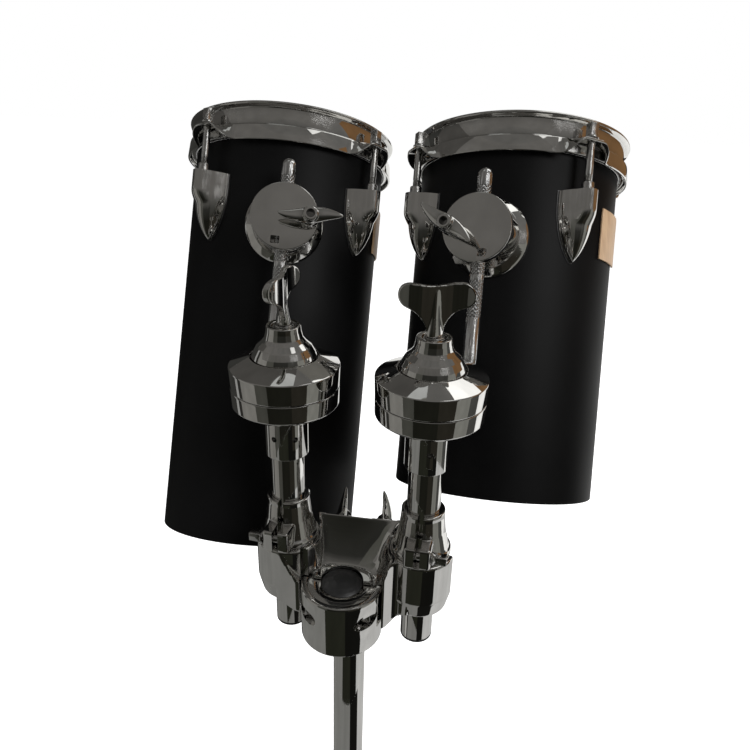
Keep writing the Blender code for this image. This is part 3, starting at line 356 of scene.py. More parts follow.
def dull_black(name, low, high, rough_low, rough_high, bump):
    """Moulded rubber or nylon with a speckled surface."""
    made, n = material(name)
    speckle = n.noise(600, 3)
    colour = n.ramp(n.noise(45, 4), 0.3, grey(low), 0.7, grey(high))
    rough = n.range(speckle, 0.3, 0.7, rough_low, rough_high)
    n.principled(Base_Color=colour, Roughness=rough, Normal=n.bump(speckle, bump, 0.0002))
    return made


def drum_film():
    """White coated film: a fine sprayed roughness over a slightly cloudy sheet."""
    made, n = material("drum_film_look")
    spray = n.noise(900, 3)
    colour = n.ramp(n.noise(18, 4), 0.3, (0.74, 0.735, 0.71), 0.7, (0.80, 0.795, 0.77))
    rough = n.range(spray, 0.3, 0.7, 0.45, 0.62)
    n.principled(Base_Color=colour, Roughness=rough, Normal=n.bump(spray, 0.25, 0.0002))
    return made


def badge_wood():
    """Pale varnished wood with its grain along the drum."""
    made, n = material("badge_wood_look")
    grain = n.noise(160, 6, 0.65, (1, 1, 0.12), DRUM_LEAN)
    colour = n.ramp(grain, 0.30, (0.33, 0.20, 0.11), 0.70, (0.55, 0.38, 0.23))
    rough = n.range(grain, 0.3, 0.7, 0.38, 0.52)
    n.principled(Base_Color=colour, Roughness=rough, Normal=n.bump(grain, 0.10, 0.0002))
    return made


LOOKS = {
    "chrome": chrome(),
    "plated_steel": plated_steel(),
    "knurled_chrome": knurled_chrome(),
    "matte_black_shell": shell_black(),
    "black_rubber": dull_black("rubber_look", 0.003, 0.007, 0.34, 0.50, 0.2),
    "black_nylon": dull_black("nylon_look", 0.014, 0.026, 0.34, 0.50, 0.08),
    "drumhead_film": drum_film(),
    "badge_wood": badge_wood(),
}


def dress_nodes():
    """Give every CAD node the look of its slot, and smooth its round faces."""
    for name, node in frame["nodes"].items():
        node.data.materials.clear()
        node.data.materials.append(LOOKS[SLOT_OF[name]])
        node.modifiers.new("weld", "WELD").merge_threshold = 0.01 * MM
        split = node.modifiers.new("sharp_edges", "EDGE_SPLIT")
        split.split_angle = math.radians(32)
        node.data.shade_smooth()


def place(x, y, z):
    return Matrix.Translation((x, y, z))


def turned(axis, degrees):
    return Matrix.Rotation(math.radians(degrees), 4, axis)


def axis_matrix(origin, direction):
    """A frame at origin whose Z runs along direction."""
    return Matrix.Translation(origin) @ Vector(direction).to_track_quat("Z", "Y").to_matrix().to_4x4()


def post_matrix(side):
    return place(side * POST_X, POST_Y, 0)


def arc(centre, radius, start, end, steps):
    """Points of (a, b) on an arc, angles in degrees."""
    angles = [math.radians(start + (end - start) * i / steps) for i in range(steps + 1)]
    return [(centre[0] + radius * math.cos(t), centre[1] + radius * math.sin(t)) for t in angles]


def rounded(points, steps=4):
    """Round the corners of a closed outline in mm; a point's third value is its corner's size."""
    made = []
    for i, point in enumerate(points):
        here = Vector(point[:2])
        before = Vector(points[i - 1][:2]) - here
        after = Vector(points[(i + 1) % len(points)][:2]) - here
        if len(point) < 3 or before.length < 1e-4 or after.length < 1e-4:
            made.append(here)
            continue
        reach = point[2] / math.tan(before.angle(after) / 2)
        reach = min(reach, before.length * 0.48, after.length * 0.48)
        start = here + before.normalized() * reach
        end = here + after.normalized() * reach
        for k in range(steps + 1):
            t = k / steps
            made.append(start * (1 - t) ** 2 + here * 2 * t * (1 - t) + end * t * t)
    return [tuple(point * MM) for point in made]


def skin(bm, rings, closed):
    """Faces between rings of corners, each with its next one; closed joins the last to the first."""
    following = rings[1:] + rings[:1] if closed else rings[1:]
    for first, second in zip(rings, following):
        for k in range(len(first)):
            n = (k + 1) % len(first)
            bm.faces.new((first[k], first[n], second[n], second[k]))
    if not closed:
        bm.faces.new(rings[0])
        bm.faces.new(rings[-1])


def lathe(profile, segments):
    """Turn a closed outline of (radius, height) points round Z."""
    bm = bmesh.new()
    turns = [2 * math.pi * i / segments for i in range(segments)]
    rings = []
    for radius, height in profile:
        if radius < 1e-7:
            rings.append([bm.verts.new((0, 0, height))])
        else:
            rings.append([bm.verts.new((radius * math.cos(t), radius * math.sin(t), height)) for t in turns])
    for first, second in zip(rings, rings[1:] + rings[:1]):
        if len(first) == 1 and len(second) == 1:
            continue
        for i in range(segments):
            j = (i + 1) % segments
            ends = [(first, i), (first, j), (second, j), (second, i)]
            corners = dict.fromkeys(ring[k % len(ring)] for ring, k in ends)
            bm.faces.new(list(corners))
    return bm


def cylinder(radius, bottom, top, segments=48):
    return lathe([(0, bottom), (radius, bottom), (radius, top), (0, top)], segments)


def prism(outline, bottom, top):
    """Extrude an outline of (x, y) points between two heights."""
    bm = bmesh.new()
    skin(bm, [[bm.verts.new((x, y, height)) for x, y in outline] for height in (bottom, top)], False)
    return bm


def block(size, centre):
    x, y, z = centre
    a, b, c = (v / 2 for v in size)
    return prism([(x - a, y - b), (x + a, y - b), (x + a, y + b), (x - a, y + b)], z - c, z + c)


def bar(points, radii, sides, flat=1.0, side=None, dip=None):
    """A closed bar along points; flat squashes it across side, and dip(point, turn) lowers it."""
    bm = bmesh.new()
    turns = [2 * math.pi * k / sides for k in range(sides)]
    side = (points[1] - points[0]).orthogonal() if side is None else side
    rings = []
    for i, point in enumerate(points):
        along = (points[min(i + 1, len(points) - 1)] - points[max(i - 1, 0)]).normalized()
        side = (side - along * side.dot(along)).normalized()
        other = along.cross(side)
        ring = []
        for t in turns:
            radius = radii[i] - (dip(point, t) if dip else 0)
            ring.append(bm.verts.new(point + radius * (side * math.cos(t) + other * flat * math.sin(t))))
        rings.append(ring)
    skin(bm, rings, False)
    return bm


def to_mesh(name, bm):
    bmesh.ops.remove_doubles(bm, verts=bm.verts, dist=1e-6)
    bmesh.ops.recalc_face_normals(bm, faces=bm.faces)
    mesh = bpy.data.meshes.new(name)
    bm.to_mesh(mesh)
    bm.free()
    return mesh


def merged(*pairs):
    """One bmesh that holds several closed bodies, each given with its matrix."""
    whole = bmesh.new()
    for bm, matrix in pairs:
        mesh = to_mesh("part", bm)
        mesh.transform(matrix)
        whole.from_mesh(mesh)
        bpy.data.meshes.remove(mesh)
    return whole


def worked(bm, steps):
    """Send a bmesh through modifiers, each a (kind, settings) pair, and return what comes out."""
    item = bpy.data.objects.new("work", to_mesh("work", bm))
    bpy.context.scene.collection.objects.link(item)
    for kind, settings in steps:
        modifier = item.modifiers.new(kind, kind)
        for key, value in settings.items():
            setattr(modifier, key, value)
    bpy.context.view_layer.update()
    graph = bpy.context.evaluated_depsgraph_get()
    mesh = bpy.data.meshes.new_from_object(item.evaluated_get(graph))
    made = bmesh.new()
    made.from_mesh(mesh)
    bpy.data.objects.remove(item)
    bpy.data.meshes.remove(mesh)
    return made


def melted(bm, voxel, passes):
    """Melt several bodies into one casting with soft inner corners."""
    remesh = {"mode": "VOXEL", "voxel_size": voxel}
    return worked(bm, [("REMESH", remesh), ("SMOOTH", {"factor": 0.5, "iterations": passes})])


def eased(bm, width, angle=32.0):
    """Round every edge that is sharper than angle."""
    bevel = {"width": width, "segments": 3, "limit_method": "ANGLE", "angle_limit": math.radians(angle)}
    return worked(bm, [("BEVEL", bevel)])


def carved(bm, *cuts):
    """Cut closed bodies out of another, each given with its matrix in the same frame."""
    steps = []
    tools = []
    for tool_bm, matrix in cuts:
        mesh = to_mesh("tool", tool_bm)
        mesh.transform(matrix)
        tool = bpy.data.objects.new("tool", mesh)
        bpy.context.scene.collection.objects.link(tool)
        tools.append(tool)
        steps.append(("BOOLEAN", {"operation": "DIFFERENCE", "solver": "EXACT", "object": tool}))
    made = worked(bm, steps)
    for tool in tools:
        bpy.data.objects.remove(tool)
    return made


def add_piece(name, bm, matrix, body, slot, sharp=40):
    """Show a bmesh as a finished piece that rides on a CAD body and takes a slot's finish."""
    mesh = to_mesh(name, bm)
    mesh.transform(matrix)
    mesh.materials.append(LOOKS[slot])
    mesh.shade_smooth()
    mesh.set_sharp_from_angle(angle=math.radians(sharp))
    piece = bpy.data.objects.new(name, mesh)
    bpy.context.scene.collection.objects.link(piece)
    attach(piece, body)
    return piece


def refine(node, bm, matrix=Matrix(), sharp=40):
    """Show a finer piece in place of a CAD node."""
    piece = add_piece(f"{node}_fine", bm, matrix, BODY_OF[node], SLOT_OF[node], sharp)
    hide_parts(node)
    return piece


def key_bolt(node, matrix, radius, length, head, head_height, threaded):
    """Square-headed bolt along +Z with a flange, and a thread on the last part of its shank."""
    pitch = 0.8 * MM
    outline = [(0, -length), (radius - 0.5 * MM, -length)]
    for k in range(int(threaded / pitch)):
        height = 0.5 * MM - length + k * pitch
        outline += [(radius, height), (radius - 0.35 * MM, height + pitch / 2)]
    flange = head * 0.76
    outline += [(radius, 0.8 * MM + threaded - length), (radius, 0), (flange - 0.2 * MM, 0), (flange, 0.3 * MM)]
    outline += [(flange, 1.0 * MM), (flange - 0.4 * MM, 1.4 * MM), (head * 0.5, 2.5 * MM), (0, 2.5 * MM)]
    half = head / 2 / MM
    square = rounded([(-half, -half, 0.6), (half, -half, 0.6), (half, half, 0.6), (-half, half, 0.6)], 2)
    top = eased(prism(square, 1.6 * MM, 1.6 * MM + head_height), 0.35 * MM, 50)
    refine(node, merged((lathe(outline, 36), Matrix()), (top, Matrix())), matrix)


def leaf_screw(node, matrix, shank, length, hub, rise, half, width, bulge):
    """Wing screw along +Z with two pointed leaves and a blind hole in its hub."""
    barrel = rounded([(0, 0), (hub + 1.3, 0, 0.4), (hub + 1.3, 1.2, 0.5), (hub, 3.0, 1),
                      (hub - 0.1, rise, 0.8), (0, rise)])
    points, widths = [], []
    for i in range(-24, 25):
        u = i / 24
        lift = rise * (0.60 + bulge * abs(u) ** 1.6)
        points.append(Vector((half * u, 0.9 * math.sin(u * math.pi), lift)) * MM)
        widths.append((width * (1 - abs(u) ** 1.25) ** 0.72 + 0.5) * MM)
    leaf = bar(points, widths, 28, 0.52, Vector((0, 1, 0)))
    body = melted(merged((lathe(barrel, 48), Matrix()), (leaf, Matrix())), 0.45 * MM, 6)
    hole = cylinder(2.9 * MM, (rise - 4.8) * MM, (rise + 4) * MM, 40)
    stem = cylinder(shank, -length, 0.4 * MM, 32)
    refine(node, merged((carved(body, (hole, Matrix())), Matrix()), (stem, Matrix())), matrix)


def make_pole():
    tube = rounded([(0, 0), (11.1, 0, 0.8), (11.1, 330, 0.3), (9.3, 330, 0.3), (9.3, 6), (0, 6)])
    refine("pole", lathe(tube, 96))
    plug = rounded([(0, 334.3), (9.0, 334.3), (9.0, 345.3), (14.2, 345.3, 0.5), (14.2, 348.3, 1.2),
                    (12.3, 349.6, 0.8), (9.8, 350.9, 3), (5.4, 352.5, 4), (0, 353.0)])
    refine("pole_plug", lathe(plug, 96), place(SEAT_X, 0, 0), 60)


def saddle_height(x, y):
    """Top of the clamp between its arms: a hollow behind the plug that rises outward and to the back."""
    inner = CAP_RADIUS - 6 * MM
    outer = POST_X - 5.6 * MM - math.copysign(SEAT_X, x - SEAT_X)
    front = 10 * MM
    across = min(abs(x - SEAT_X) / outer, 1)
    step = min(max((abs(x - SEAT_X) - inner) / (outer - inner), 0), 1)
    deep = min(max((y - 2 * MM) / (14 * MM), 0), 1) * 0.75
    out = step * step * (3 - 2 * step) * (1 - deep) + across ** 2.4 * deep
    back = min(max((y - front) / (CLAMP_BACK_Y - front), 0), 1) ** 1.5
    low = CLAMP_SEAT_TOP - 3 * MM
    high = ARM_TOP + 9 * MM
    share = (ARM_TOP - low) / (high - low)
    return low + (high - low) * (1 - (1 - share * out) * (1 - back))


def saddle_cutter():
    """Everything above the saddle surface, as one closed block."""
    columns, rows = 70, 34
    half = POST_X + 4.45 * MM
    front = -16 * MM
    depth = CLAMP_BACK_Y + 5.5 * MM - front
    top = ARM_TOP + 60 * MM
    bm = bmesh.new()
    rings = []
    for i in range(columns + 1):
        x = -half + 2 * half * i / columns
        ys = [front + depth * j / rows for j in range(rows + 1)]
        low = [bm.verts.new((x, y, saddle_height(x, y))) for y in ys]
        rings.append(low + [bm.verts.new((x, y, top)) for y in reversed(ys)])
    skin(bm, rings, False)
    return bm


def wall_points(side):
    """Front of the wall between the cap and an arm: it stands forward beside the cap."""
    if side > 0:
        front = [(22.9, 0.5), (23.0, -4), (22.9, -8.4), (24.2, -7.8), (26.4, -6.0), (28.6, -4.2),
                 (30.8, -2.8), (33.2, -2.5), (36.5, -4.2), (40, -5.6)]
    else:
        front = [(-33.9, 0.5), (-33.7, -4), (-33.0, -8.6), (-34.4, -8.9), (-40, -8.1), (-46, -7.2),
                 (-49.5, -6.4)]
    return [(x * MM, y * MM) for x, y in front]


def web_outline():
    """Plan of the bridge between the arms."""
    right = wall_points(1) + [(POST_X, CLAMP_BACK_Y)]
    left = wall_points(-1) + [(-POST_X, CLAMP_BACK_Y)]
    return right + left[::-1]


def make_walls():
    """The lower part of the two walls beside the cap; their lower edges sweep up to the arms."""
    walls = []
    for side in (-1, 1):
        points = wall_points(side)
        start, end = points[0][0], points[-1][0]
        plan = points + [(end, 5 * MM), (start - side * 3 * MM, 9 * MM), (start - side * 3 * MM, 0.5 * MM)]
        drop = 12 if side > 0 else 6
        sweep = [(0, 1), (0.15, 0.96), (0.32, 0.78), (0.52, 0.46), (0.75, 0.16), (1, 0)]
        sweep = [(share, 331.5 - drop * depth) for share, depth in sweep]
        under = [(start + share * (end - start), z * MM) for share, z in sweep]
        inner = start - side * 2 * MM
        under = [(inner, 300 * MM), (inner, under[0][1])] + under
        under += [(end + side * 9 * MM, 331.5 * MM), (end + side * 9 * MM, 300 * MM)]
        room = prism(under, -40 * MM, 40 * MM)
        walls.append((carved(prism(plan, 309 * MM, 340 * MM), (room, turned("X", 90))), Matrix()))
    return walls


def arm_bolt_matrix(side):
    """The arm bolt's axis, level, from the post back and inwards."""
    turn = math.radians(ARM_BOLT_TURN)
    return axis_matrix((side * POST_X, POST_Y, ARM_BOLT_HEIGHT), (-side * math.sin(turn), math.cos(turn), 0))


def cap_bolt_matrix(side, direction):
    return axis_matrix((SEAT_X + side * CAP_BOLT_X, 0, CAP_BOLT_HEIGHT), (0, direction, 0))


def seat_cuts():
    """Room for the pole, and above it for the plug and its stem."""
    axis = place(SEAT_X, 0, 0)
    stem = PLUG_STEM_RADIUS + GAP
    seat = PLUG_RADIUS + GAP
    return [(cylinder(TUBE_FIT, CLAMP_BOTTOM - 2 * MM, POLE_TOP + 0.6 * MM, 96), Matrix()),
            (cylinder(stem, POLE_TOP, PLUG_SEAT + MM, 64), axis),
            (cylinder(seat, PLUG_SEAT, ARM_TOP + 30 * MM, 96), axis)]


def make_clamp():
    """Body of the clamp: bridge, two arms with a tapered lower edge, and the rear half of the seat."""
    seat_axis = place(SEAT_X, 0, 0)
    over_arms = []
    for side in (-1, 1):
        over_arms.append((cylinder(ARM_RADIUS + 0.7 * MM, ARM_TOP, ARM_TOP + 40 * MM, 96), post_matrix(side)))
    web = carved(prism(web_outline(), ARM_BOTTOM, ARM_TOP + 20 * MM), (saddle_cutter(), Matrix()), *over_arms)
    seat = [(x, min(y + 0.5 * MM, 18 * MM)) for x, y in arc((0, 0), CAP_RADIUS - 0.1 * MM, 0, 180, 48)]
    bodies = [(web, Matrix()), (prism(seat, CLAMP_BOTTOM, ARM_BOTTOM + 2 * MM), seat_axis)]
    boss = rounded([(13, 338), (20.5, 338), (20.5, 350.8, 2.2), (13, 350.8, 0.4)])
    front = block((60 * MM, 30 * MM, 60 * MM), (0, 0.5 * MM - 15 * MM, 345 * MM))
    bodies.append((carved(lathe(boss, 96), (front, Matrix())), seat_axis))
    arm = rounded([(0, 330), (19.5, 330, 1.6), (22.5, 342.7, 0.2), (22.5, 373, 0.9), (0, 373)])
    bodies += [(lathe(arm, 96), post_matrix(side)) for side in (-1, 1)]
    casting = melted(merged(*bodies, *make_walls()), 0.7 * MM, 5)
    room = [(x, y + 0.5 * MM) for x, y in arc((0, 0), CAP_RADIUS + GAP, 180, 360, 80)]
    room = (prism(room, CLAMP_BOTTOM - 2 * MM, ARM_TOP + 3 * MM), seat_axis)
    bores, holes = [], []
    for side in (-1, 1):
        frame_here = post_matrix(side)
        bores.append((cylinder(TUBE_FIT, ARM_BOTTOM - 3 * MM, ARM_TOP + 4 * MM, 96), frame_here))
        start, end = (-12, 121) if side > 0 else (59, 192)
        relief = arc((0, 0), ARM_RELIEF, start, end, 40) + arc((0, 0), ARM_RADIUS + 11.5 * MM, end, start, 40)
        bores.append((prism(relief, ARM_BOTTOM - 5 * MM, ARM_TOP + 10 * MM), frame_here))
        holes.append((cylinder(4.3 * MM, 13 * MM, 2 * ARM_RADIUS), arm_bolt_matrix(side)))
        holes.append((cylinder(2.9 * MM, -2 * MM, 14 * MM), cap_bolt_matrix(side, 1)))
    cuts = [room, *seat_cuts(), (merged(*bores), Matrix()), (merged(*holes), Matrix())]
    refine("clamp_body", carved(casting, *cuts))


def make_cap():
    """Front half of the pole's seat, dished round the plug, with a recess for each bolt head."""
    profile = rounded([(0, 309), (28, 309, 1.2), (28, 350, 3.6), (24.1, 350, 1.5), (19, 348.2, 1.5),
                       (0, 348.2)], 6)
    half = carved(lathe(profile, 160), (block((60 * MM, 60 * MM, 60 * MM), (0, 30 * MM - GAP, 330 * MM)), Matrix()))
    cuts = seat_cuts()
    slot = arc((1.8 * MM, 0), 4.75 * MM, -90, 90, 16) + arc((-1.8 * MM, 0), 4.75 * MM, 90, 270, 16)
    for side in (-1, 1):
        cuts.append((prism(slot, CAP_RECESS_FLOOR, 30 * MM), cap_bolt_matrix(side, -1)))
        cuts.append((cylinder(2.9 * MM, -2 * MM, CAP_RECESS_FLOOR + MM), cap_bolt_matrix(side, -1)))
    cap = merged((half, place(SEAT_X, 0, 0)))
    refine("front_cap", eased(carved(cap, *cuts), 0.4 * MM, 50))
    for name, side in SIDES.items():
        seat = cap_bolt_matrix(side, -1) @ place(0, 0, CAP_RECESS_FLOOR + GAP)
        key_bolt(f"cap_bolt_{name}", seat, 2.6 * MM, 20 * MM, 5 * MM, 5 * MM, 8 * MM)


def make_post(name, side):
    here = post_matrix(side)
    tube = rounded([(11.1, 301, 0.4), (11.1, 465, 0.6), (9.3, 465, 0.4), (9.3, 301, 0.4)])
    refine(f"{name}_post", lathe(tube, 96), here)
    plug = rounded([(0, 298.2), (9.4, 298.2, 0.8), (11.1, 299.4, 0.7), (11.1, 300.7, 0.2), (9.0, 300.7),
                    (9.0, 309.7), (0, 309.7)])
    refine(f"{name}_post_end_plug", lathe(plug, 96), here)
    matrix = arm_bolt_matrix(side) @ place(0, 0, ARM_BOLT_HUB) @ turned("Z", side * ARM_WING_SPIN)
    leaf_screw(f"{name}_arm_wing_bolt", matrix, 4 * MM, ARM_BOLT_HUB - TUBE_FIT, 5.4, 16.8, 27.2, 4.4, 0.24)


def make_lock(name, side):
    """Memory lock: a bell-shaped split ring with two block ears, pinched by a key bolt."""
    frame_here = post_matrix(side) @ turned("Z", LOCK_TURN[name]) @ place(0, 0, LOCK_BOTTOM)
    bell = rounded([(11.0, 0), (20, 0, 0.6), (20, 3.6, 1.0), (18.2, 5.4, 1.5), (15.6, 17, 6), (14.4, 29, 3),
                    (14.4, 33, 0.9), (11.0, 33)])
    ear = rounded([(-9, -26.5, 2.6), (9, -26.5, 2.6), (9, -12.6), (-9, -12.6)])
    ears = eased(prism(ear, 2.5 * MM, LOCK_EAR_HEIGHT - 2.5 * MM), 1.4 * MM, 50)
    body = melted(merged((lathe(bell, 96), Matrix()), (ears, Matrix())), 0.5 * MM, 4)
    bore = cylinder(TUBE_FIT, -MM, LOCK_HEIGHT + MM, 96)
    slot = block((4 * MM, 26.5 * MM, LOCK_HEIGHT + 4 * MM), (0, -19.25 * MM, LOCK_HEIGHT / 2))
    middle = place(0, -LOCK_BOLT_OUT, LOCK_EAR_HEIGHT / 2) @ turned("Y", 90 * side)
    hole = cylinder(2.8 * MM, -15 * MM, 15 * MM)
    cuts = [(bore, Matrix()), (slot, Matrix()), (hole, middle)]
    refine(f"{name}_memory_lock", carved(body, *cuts), frame_here)
    seat = frame_here @ middle @ place(0, 0, LOCK_EAR_WIDTH / 2 + GAP)
    key_bolt(f"{name}_lock_bolt", seat, 2.5 * MM, 19 * MM, 6 * MM, 8 * MM, 9 * MM)


def drum_matrix(name):
    """The drum's frame: Z up its axis from the shell's lower edge, -Y towards the bracket."""
    side = SIDES[name]
    lean = turned("X", -DRUM_LEAN)
    top = Vector((side * DRUM_X, DRUM_TOP_Y, DRUM_TOP_Z))
    base = top - (lean.to_3x3() @ Vector((0, 0, SHELL_LENGTHS[name])))
    return Matrix.Translation(base) @ lean @ turned("Z", -side * DRUM_TURN)


def leg_points(name, side):
    """The ball's centre, the foot of the upright level with it, and the upright's direction."""
    drum = drum_matrix(name)
    upright = drum @ Vector((0, -(SHELL_RADIUS + ROD_STANDOFF), 0))
    along = drum.to_3x3() @ Vector((0, 0, 1))
    ball = Vector((side * POST_X, POST_Y, BALL_HEIGHT))
    return ball, upright + along * ((BALL_HEIGHT - upright.z) / along.z), along


def make_housing(name, side):
    """Two halves round the ball, slotted for the L-rod; the lower one has the post's collar."""
    here = post_matrix(side)
    ball, foot, _ = leg_points(name, side)
    slot_frame = here @ turned("Z", math.degrees(math.atan2(foot.y - ball.y, foot.x - ball.x)))
    slot_local = here.inverted() @ slot_frame
    slot_size = (60 * MM, 16 * MM, 23 * MM)
    cup = [(x / MM, z / MM) for x, z in arc((0, BALL_HEIGHT), BALL_RADIUS + GAP, -1.2, -78, 16)]
    lower = rounded([(11.4, 438.5, 0.4), (14.3, 438.5, 0.7), (14.3, 472.6, 1.2), (31.0, 473, 1.6),
                     (33.9, 475.4, 1.4), (34.1, 486.7, 0.8), (31.5, 486.7), (31.5, 478), (18.5, 478),
                     (18.5, 486.7)] + cup + [(3, cup[-1][1]), (3, 465.3), (11.4, 465.3)], 5)
    cuts = [(block(slot_size, (30 * MM, 0, BALL_HEIGHT)), slot_local)]
    for turn in ((-108, -52) if side < 0 else (-79,)):
        aim = turned("Z", turn) @ place(0, 0, COLLAR_BOTTOM + 15 * MM) @ turned("Y", 90)
        cuts.append((cylinder(1.9 * MM, 11.2 * MM, 20 * MM, 24), aim))
    refine(f"{name}_housing_lower", carved(lathe(lower, 144), *cuts), here)
    upper = rounded([(31.5, 487), (34.1, 487, 0.8), (34.5, 500.5, 1.1), (20.9, 506.5, 0.6), (20.9, 503.9, 0.3),
                     (28, 500.7), (31.5, 497.5)], 5)
    slot = (block(slot_size, (30 * MM, 0, BALL_HEIGHT)), slot_local)
    refine(f"{name}_housing_upper", carved(lathe(upper, 144), slot), here)
    ball_profile = [(0, -BALL_RADIUS)] + arc((0, 0), BALL_RADIUS, -86, 86, 40) + [(0, BALL_RADIUS)]
    leg = foot - ball
    socket = (cylinder(ROD_RADIUS + GAP, -8 * MM, 20 * MM), axis_matrix((0, 0, 0), leg))
    refine(f"{name}_ball", carved(lathe(ball_profile, 72), socket), Matrix.Translation(ball))


def make_dome(name, side):
    """Bell-shaped cap that rises through the cone into a neck."""
    bell = rounded([(3.4, 502), (21.6, 502, 0.2), (21.6, 503.2, 0.2), (20.3, 503.2, 0.2), (20.2, 506.4, 2),
                    (19.2, 509.2, 3), (17.0, 513.2, 3.5), (13.6, 516.3, 3.5), (11.9, 518.6, 3),
                    (11.0, 522.5, 3), (10.6, 526, 0.7), (7.4, 526, 0.5), (7.2, 524, 0.4), (3.4, 524)], 6)
    refine(f"{name}_dome", lathe(bell, 128), post_matrix(side), 44)


def make_top_bolt(name, side):
    """Wing bolt: one curved sheet with two broad wings and a slim barrel, and washers at its foot."""
    matrix = post_matrix(side) @ place(0, 0, NECK_TOP) @ turned("Z", TOP_WING_SPIN[name])
    rise = WING_RISE / MM
    lobe = (14.9, rise - 7.9)
    right = [(4.8, 2.4), (5.1, 5), (6.0, 8), (7.6, 11), (9.9, 13.7), (12.8, 16.1)]
    right += arc(lobe, 7.5, -78, 84, 14) + [(10, rise - 0.9), (5, rise - 1.6), (0, rise - 1.9)]
    outline = [(x * MM, z * MM) for x, z in right]
    wings = prism(outline + [(-x, z) for x, z in reversed(outline[:-1])], -1.9 * MM, 1.9 * MM)
    barrel = rounded([(0, 0.6), (5.2, 0.6, 0.6), (4.7, 4, 2), (3.2, 12, 5), (2.2, rise - 4, 0.8), (0, rise - 4)])
    body = melted(merged((lathe(barrel, 64), Matrix()), (wings, turned("X", 90))), 0.45 * MM, 8)
    for vert in body.verts:
        vert.co.y += 3.0 * MM * math.sin(vert.co.x / (22.4 * MM) * math.pi)
    shank = cylinder(3 * MM, -24 * MM, 1.2 * MM, 32)
    refine(f"{name}_top_wing_bolt", merged((body, Matrix()), (shank, Matrix())), matrix)
    washers = rounded([(3.2, -1.9), (6.6, -1.9, 0.3), (6.6, -0.9, 0.3), (6.0, -0.8, 0.1), (6.0, 0.4, 0.3),
                       (3.2, 0.4)])
    body_name = BODY_OF[f"{name}_top_wing_bolt"]
    add_piece(f"{name}_top_washers", lathe(washers, 64), matrix, body_name, "plated_steel")


def make_rod(name, side):
    """L-rod from inside the ball, round its bend and up the drum, with two knurled bands."""
    ball, foot, along = leg_points(name, side)
    leg = (foot - ball).normalized()
    opening = leg.angle(along)
    tangent = ROD_BEND * math.tan(opening / 2)
    normal = (along - leg * along.dot(leg)).normalized()
    centre = foot - leg * tangent + normal * ROD_BEND
    points = [ball - leg * 7.7 * MM, ball + leg * 5 * MM, ball + leg * 15 * MM]
    for i in range(17):
        t = opening * i / 16
        points.append(centre - normal * ROD_BEND * math.cos(t) + leg * ROD_BEND * math.sin(t))
    bracket = drum_matrix(name) @ Vector((0, -(SHELL_RADIUS + ROD_STANDOFF), SHELL_LENGTHS[name] - BRACKET_DROP))
    for low, high in KNURL_BANDS:
        count = int((high - low) / (0.3 * MM))
        points += [bracket + along * (low + (high - low) * k / count) for k in range(count + 1)]
    radii = [ROD_RADIUS] * len(points)
    for k in range(9):
        t = math.radians(90 * k / 8)
        points.append(bracket + along * (ROD_ABOVE_BRACKET - ROD_RADIUS * (1 - math.sin(t))))
        radii.append(max(ROD_RADIUS * math.cos(t), 0.05 * MM))
    frame_here = axis_matrix(foot, along)
    local = frame_here.inverted()
    middle = (local @ bracket).z

    def knurl(point, turn):
        height = point.z - middle
        if not any(low < height < high for low, high in KNURL_BANDS):
            return 0
        climb = height / ROD_RADIUS
        ridges = [abs((KNURL_STARTS * (turn + lean * climb) / (2 * math.pi)) % 1 - 0.5) for lean in (-1, 1)]
        return KNURL_DEPTH * (1 - 2 * min(ridges))

    upright = bar([local @ point for point in points], radii, 100, dip=knurl)
    rod = refine(f"{name}_l_rod", upright, frame_here, 60)
    rod.data.materials[0] = LOOKS["knurled_chrome"]


def make_shell(name, drum):
    length = SHELL_LENGTHS[name] / MM
    profile = rounded([(70, 0, 0.8), (75, 0, 0.8), (75, length, 1.2), (73, length, 0.4), (70, length - 3.5, 0.5)])
    refine(f"{name}_shell", lathe(profile, 192), drum, 50)


def make_head(name, drum):
    """Film over the bearing edge, and the steel flesh hoop at its foot."""
    length = SHELL_LENGTHS[name] / MM
    film = rounded([(0, length + 0.3), (74, length + 0.3, 0.8), (75.3, length - 1.4, 0.6), (75.3, length - 12.5, 0.2),
                    (76.1, length - 12.5, 0.2), (76.1, length - 0.8, 1.2), (74.4, length + 1.1, 1.2),
                    (0, length + 1.1)])
    refine(f"{name}_head", lathe(film, 160), drum, 50)
    ring = rounded([(76.2, length - 13, 1), (79.5, length - 13, 1), (79.5, length - 6.2, 1), (76.2, length - 6.2, 1)])
    add_piece(f"{name}_flesh_hoop", lathe(ring, 160), drum, f"{name}_drum", "plated_steel")


def ear_slope(azimuth):
    """Slope of the hoop's lower flange: hanging down between the ears, nearly level at them."""
    nearest = min(abs((azimuth - ear + 180) % 360 - 180) for ear in LUG_AZIMUTHS)
    share = min(max((nearest - 4.5) / 10.5, 0), 1)
    return math.radians(-6 - 80 * share * share * (3 - 2 * share))


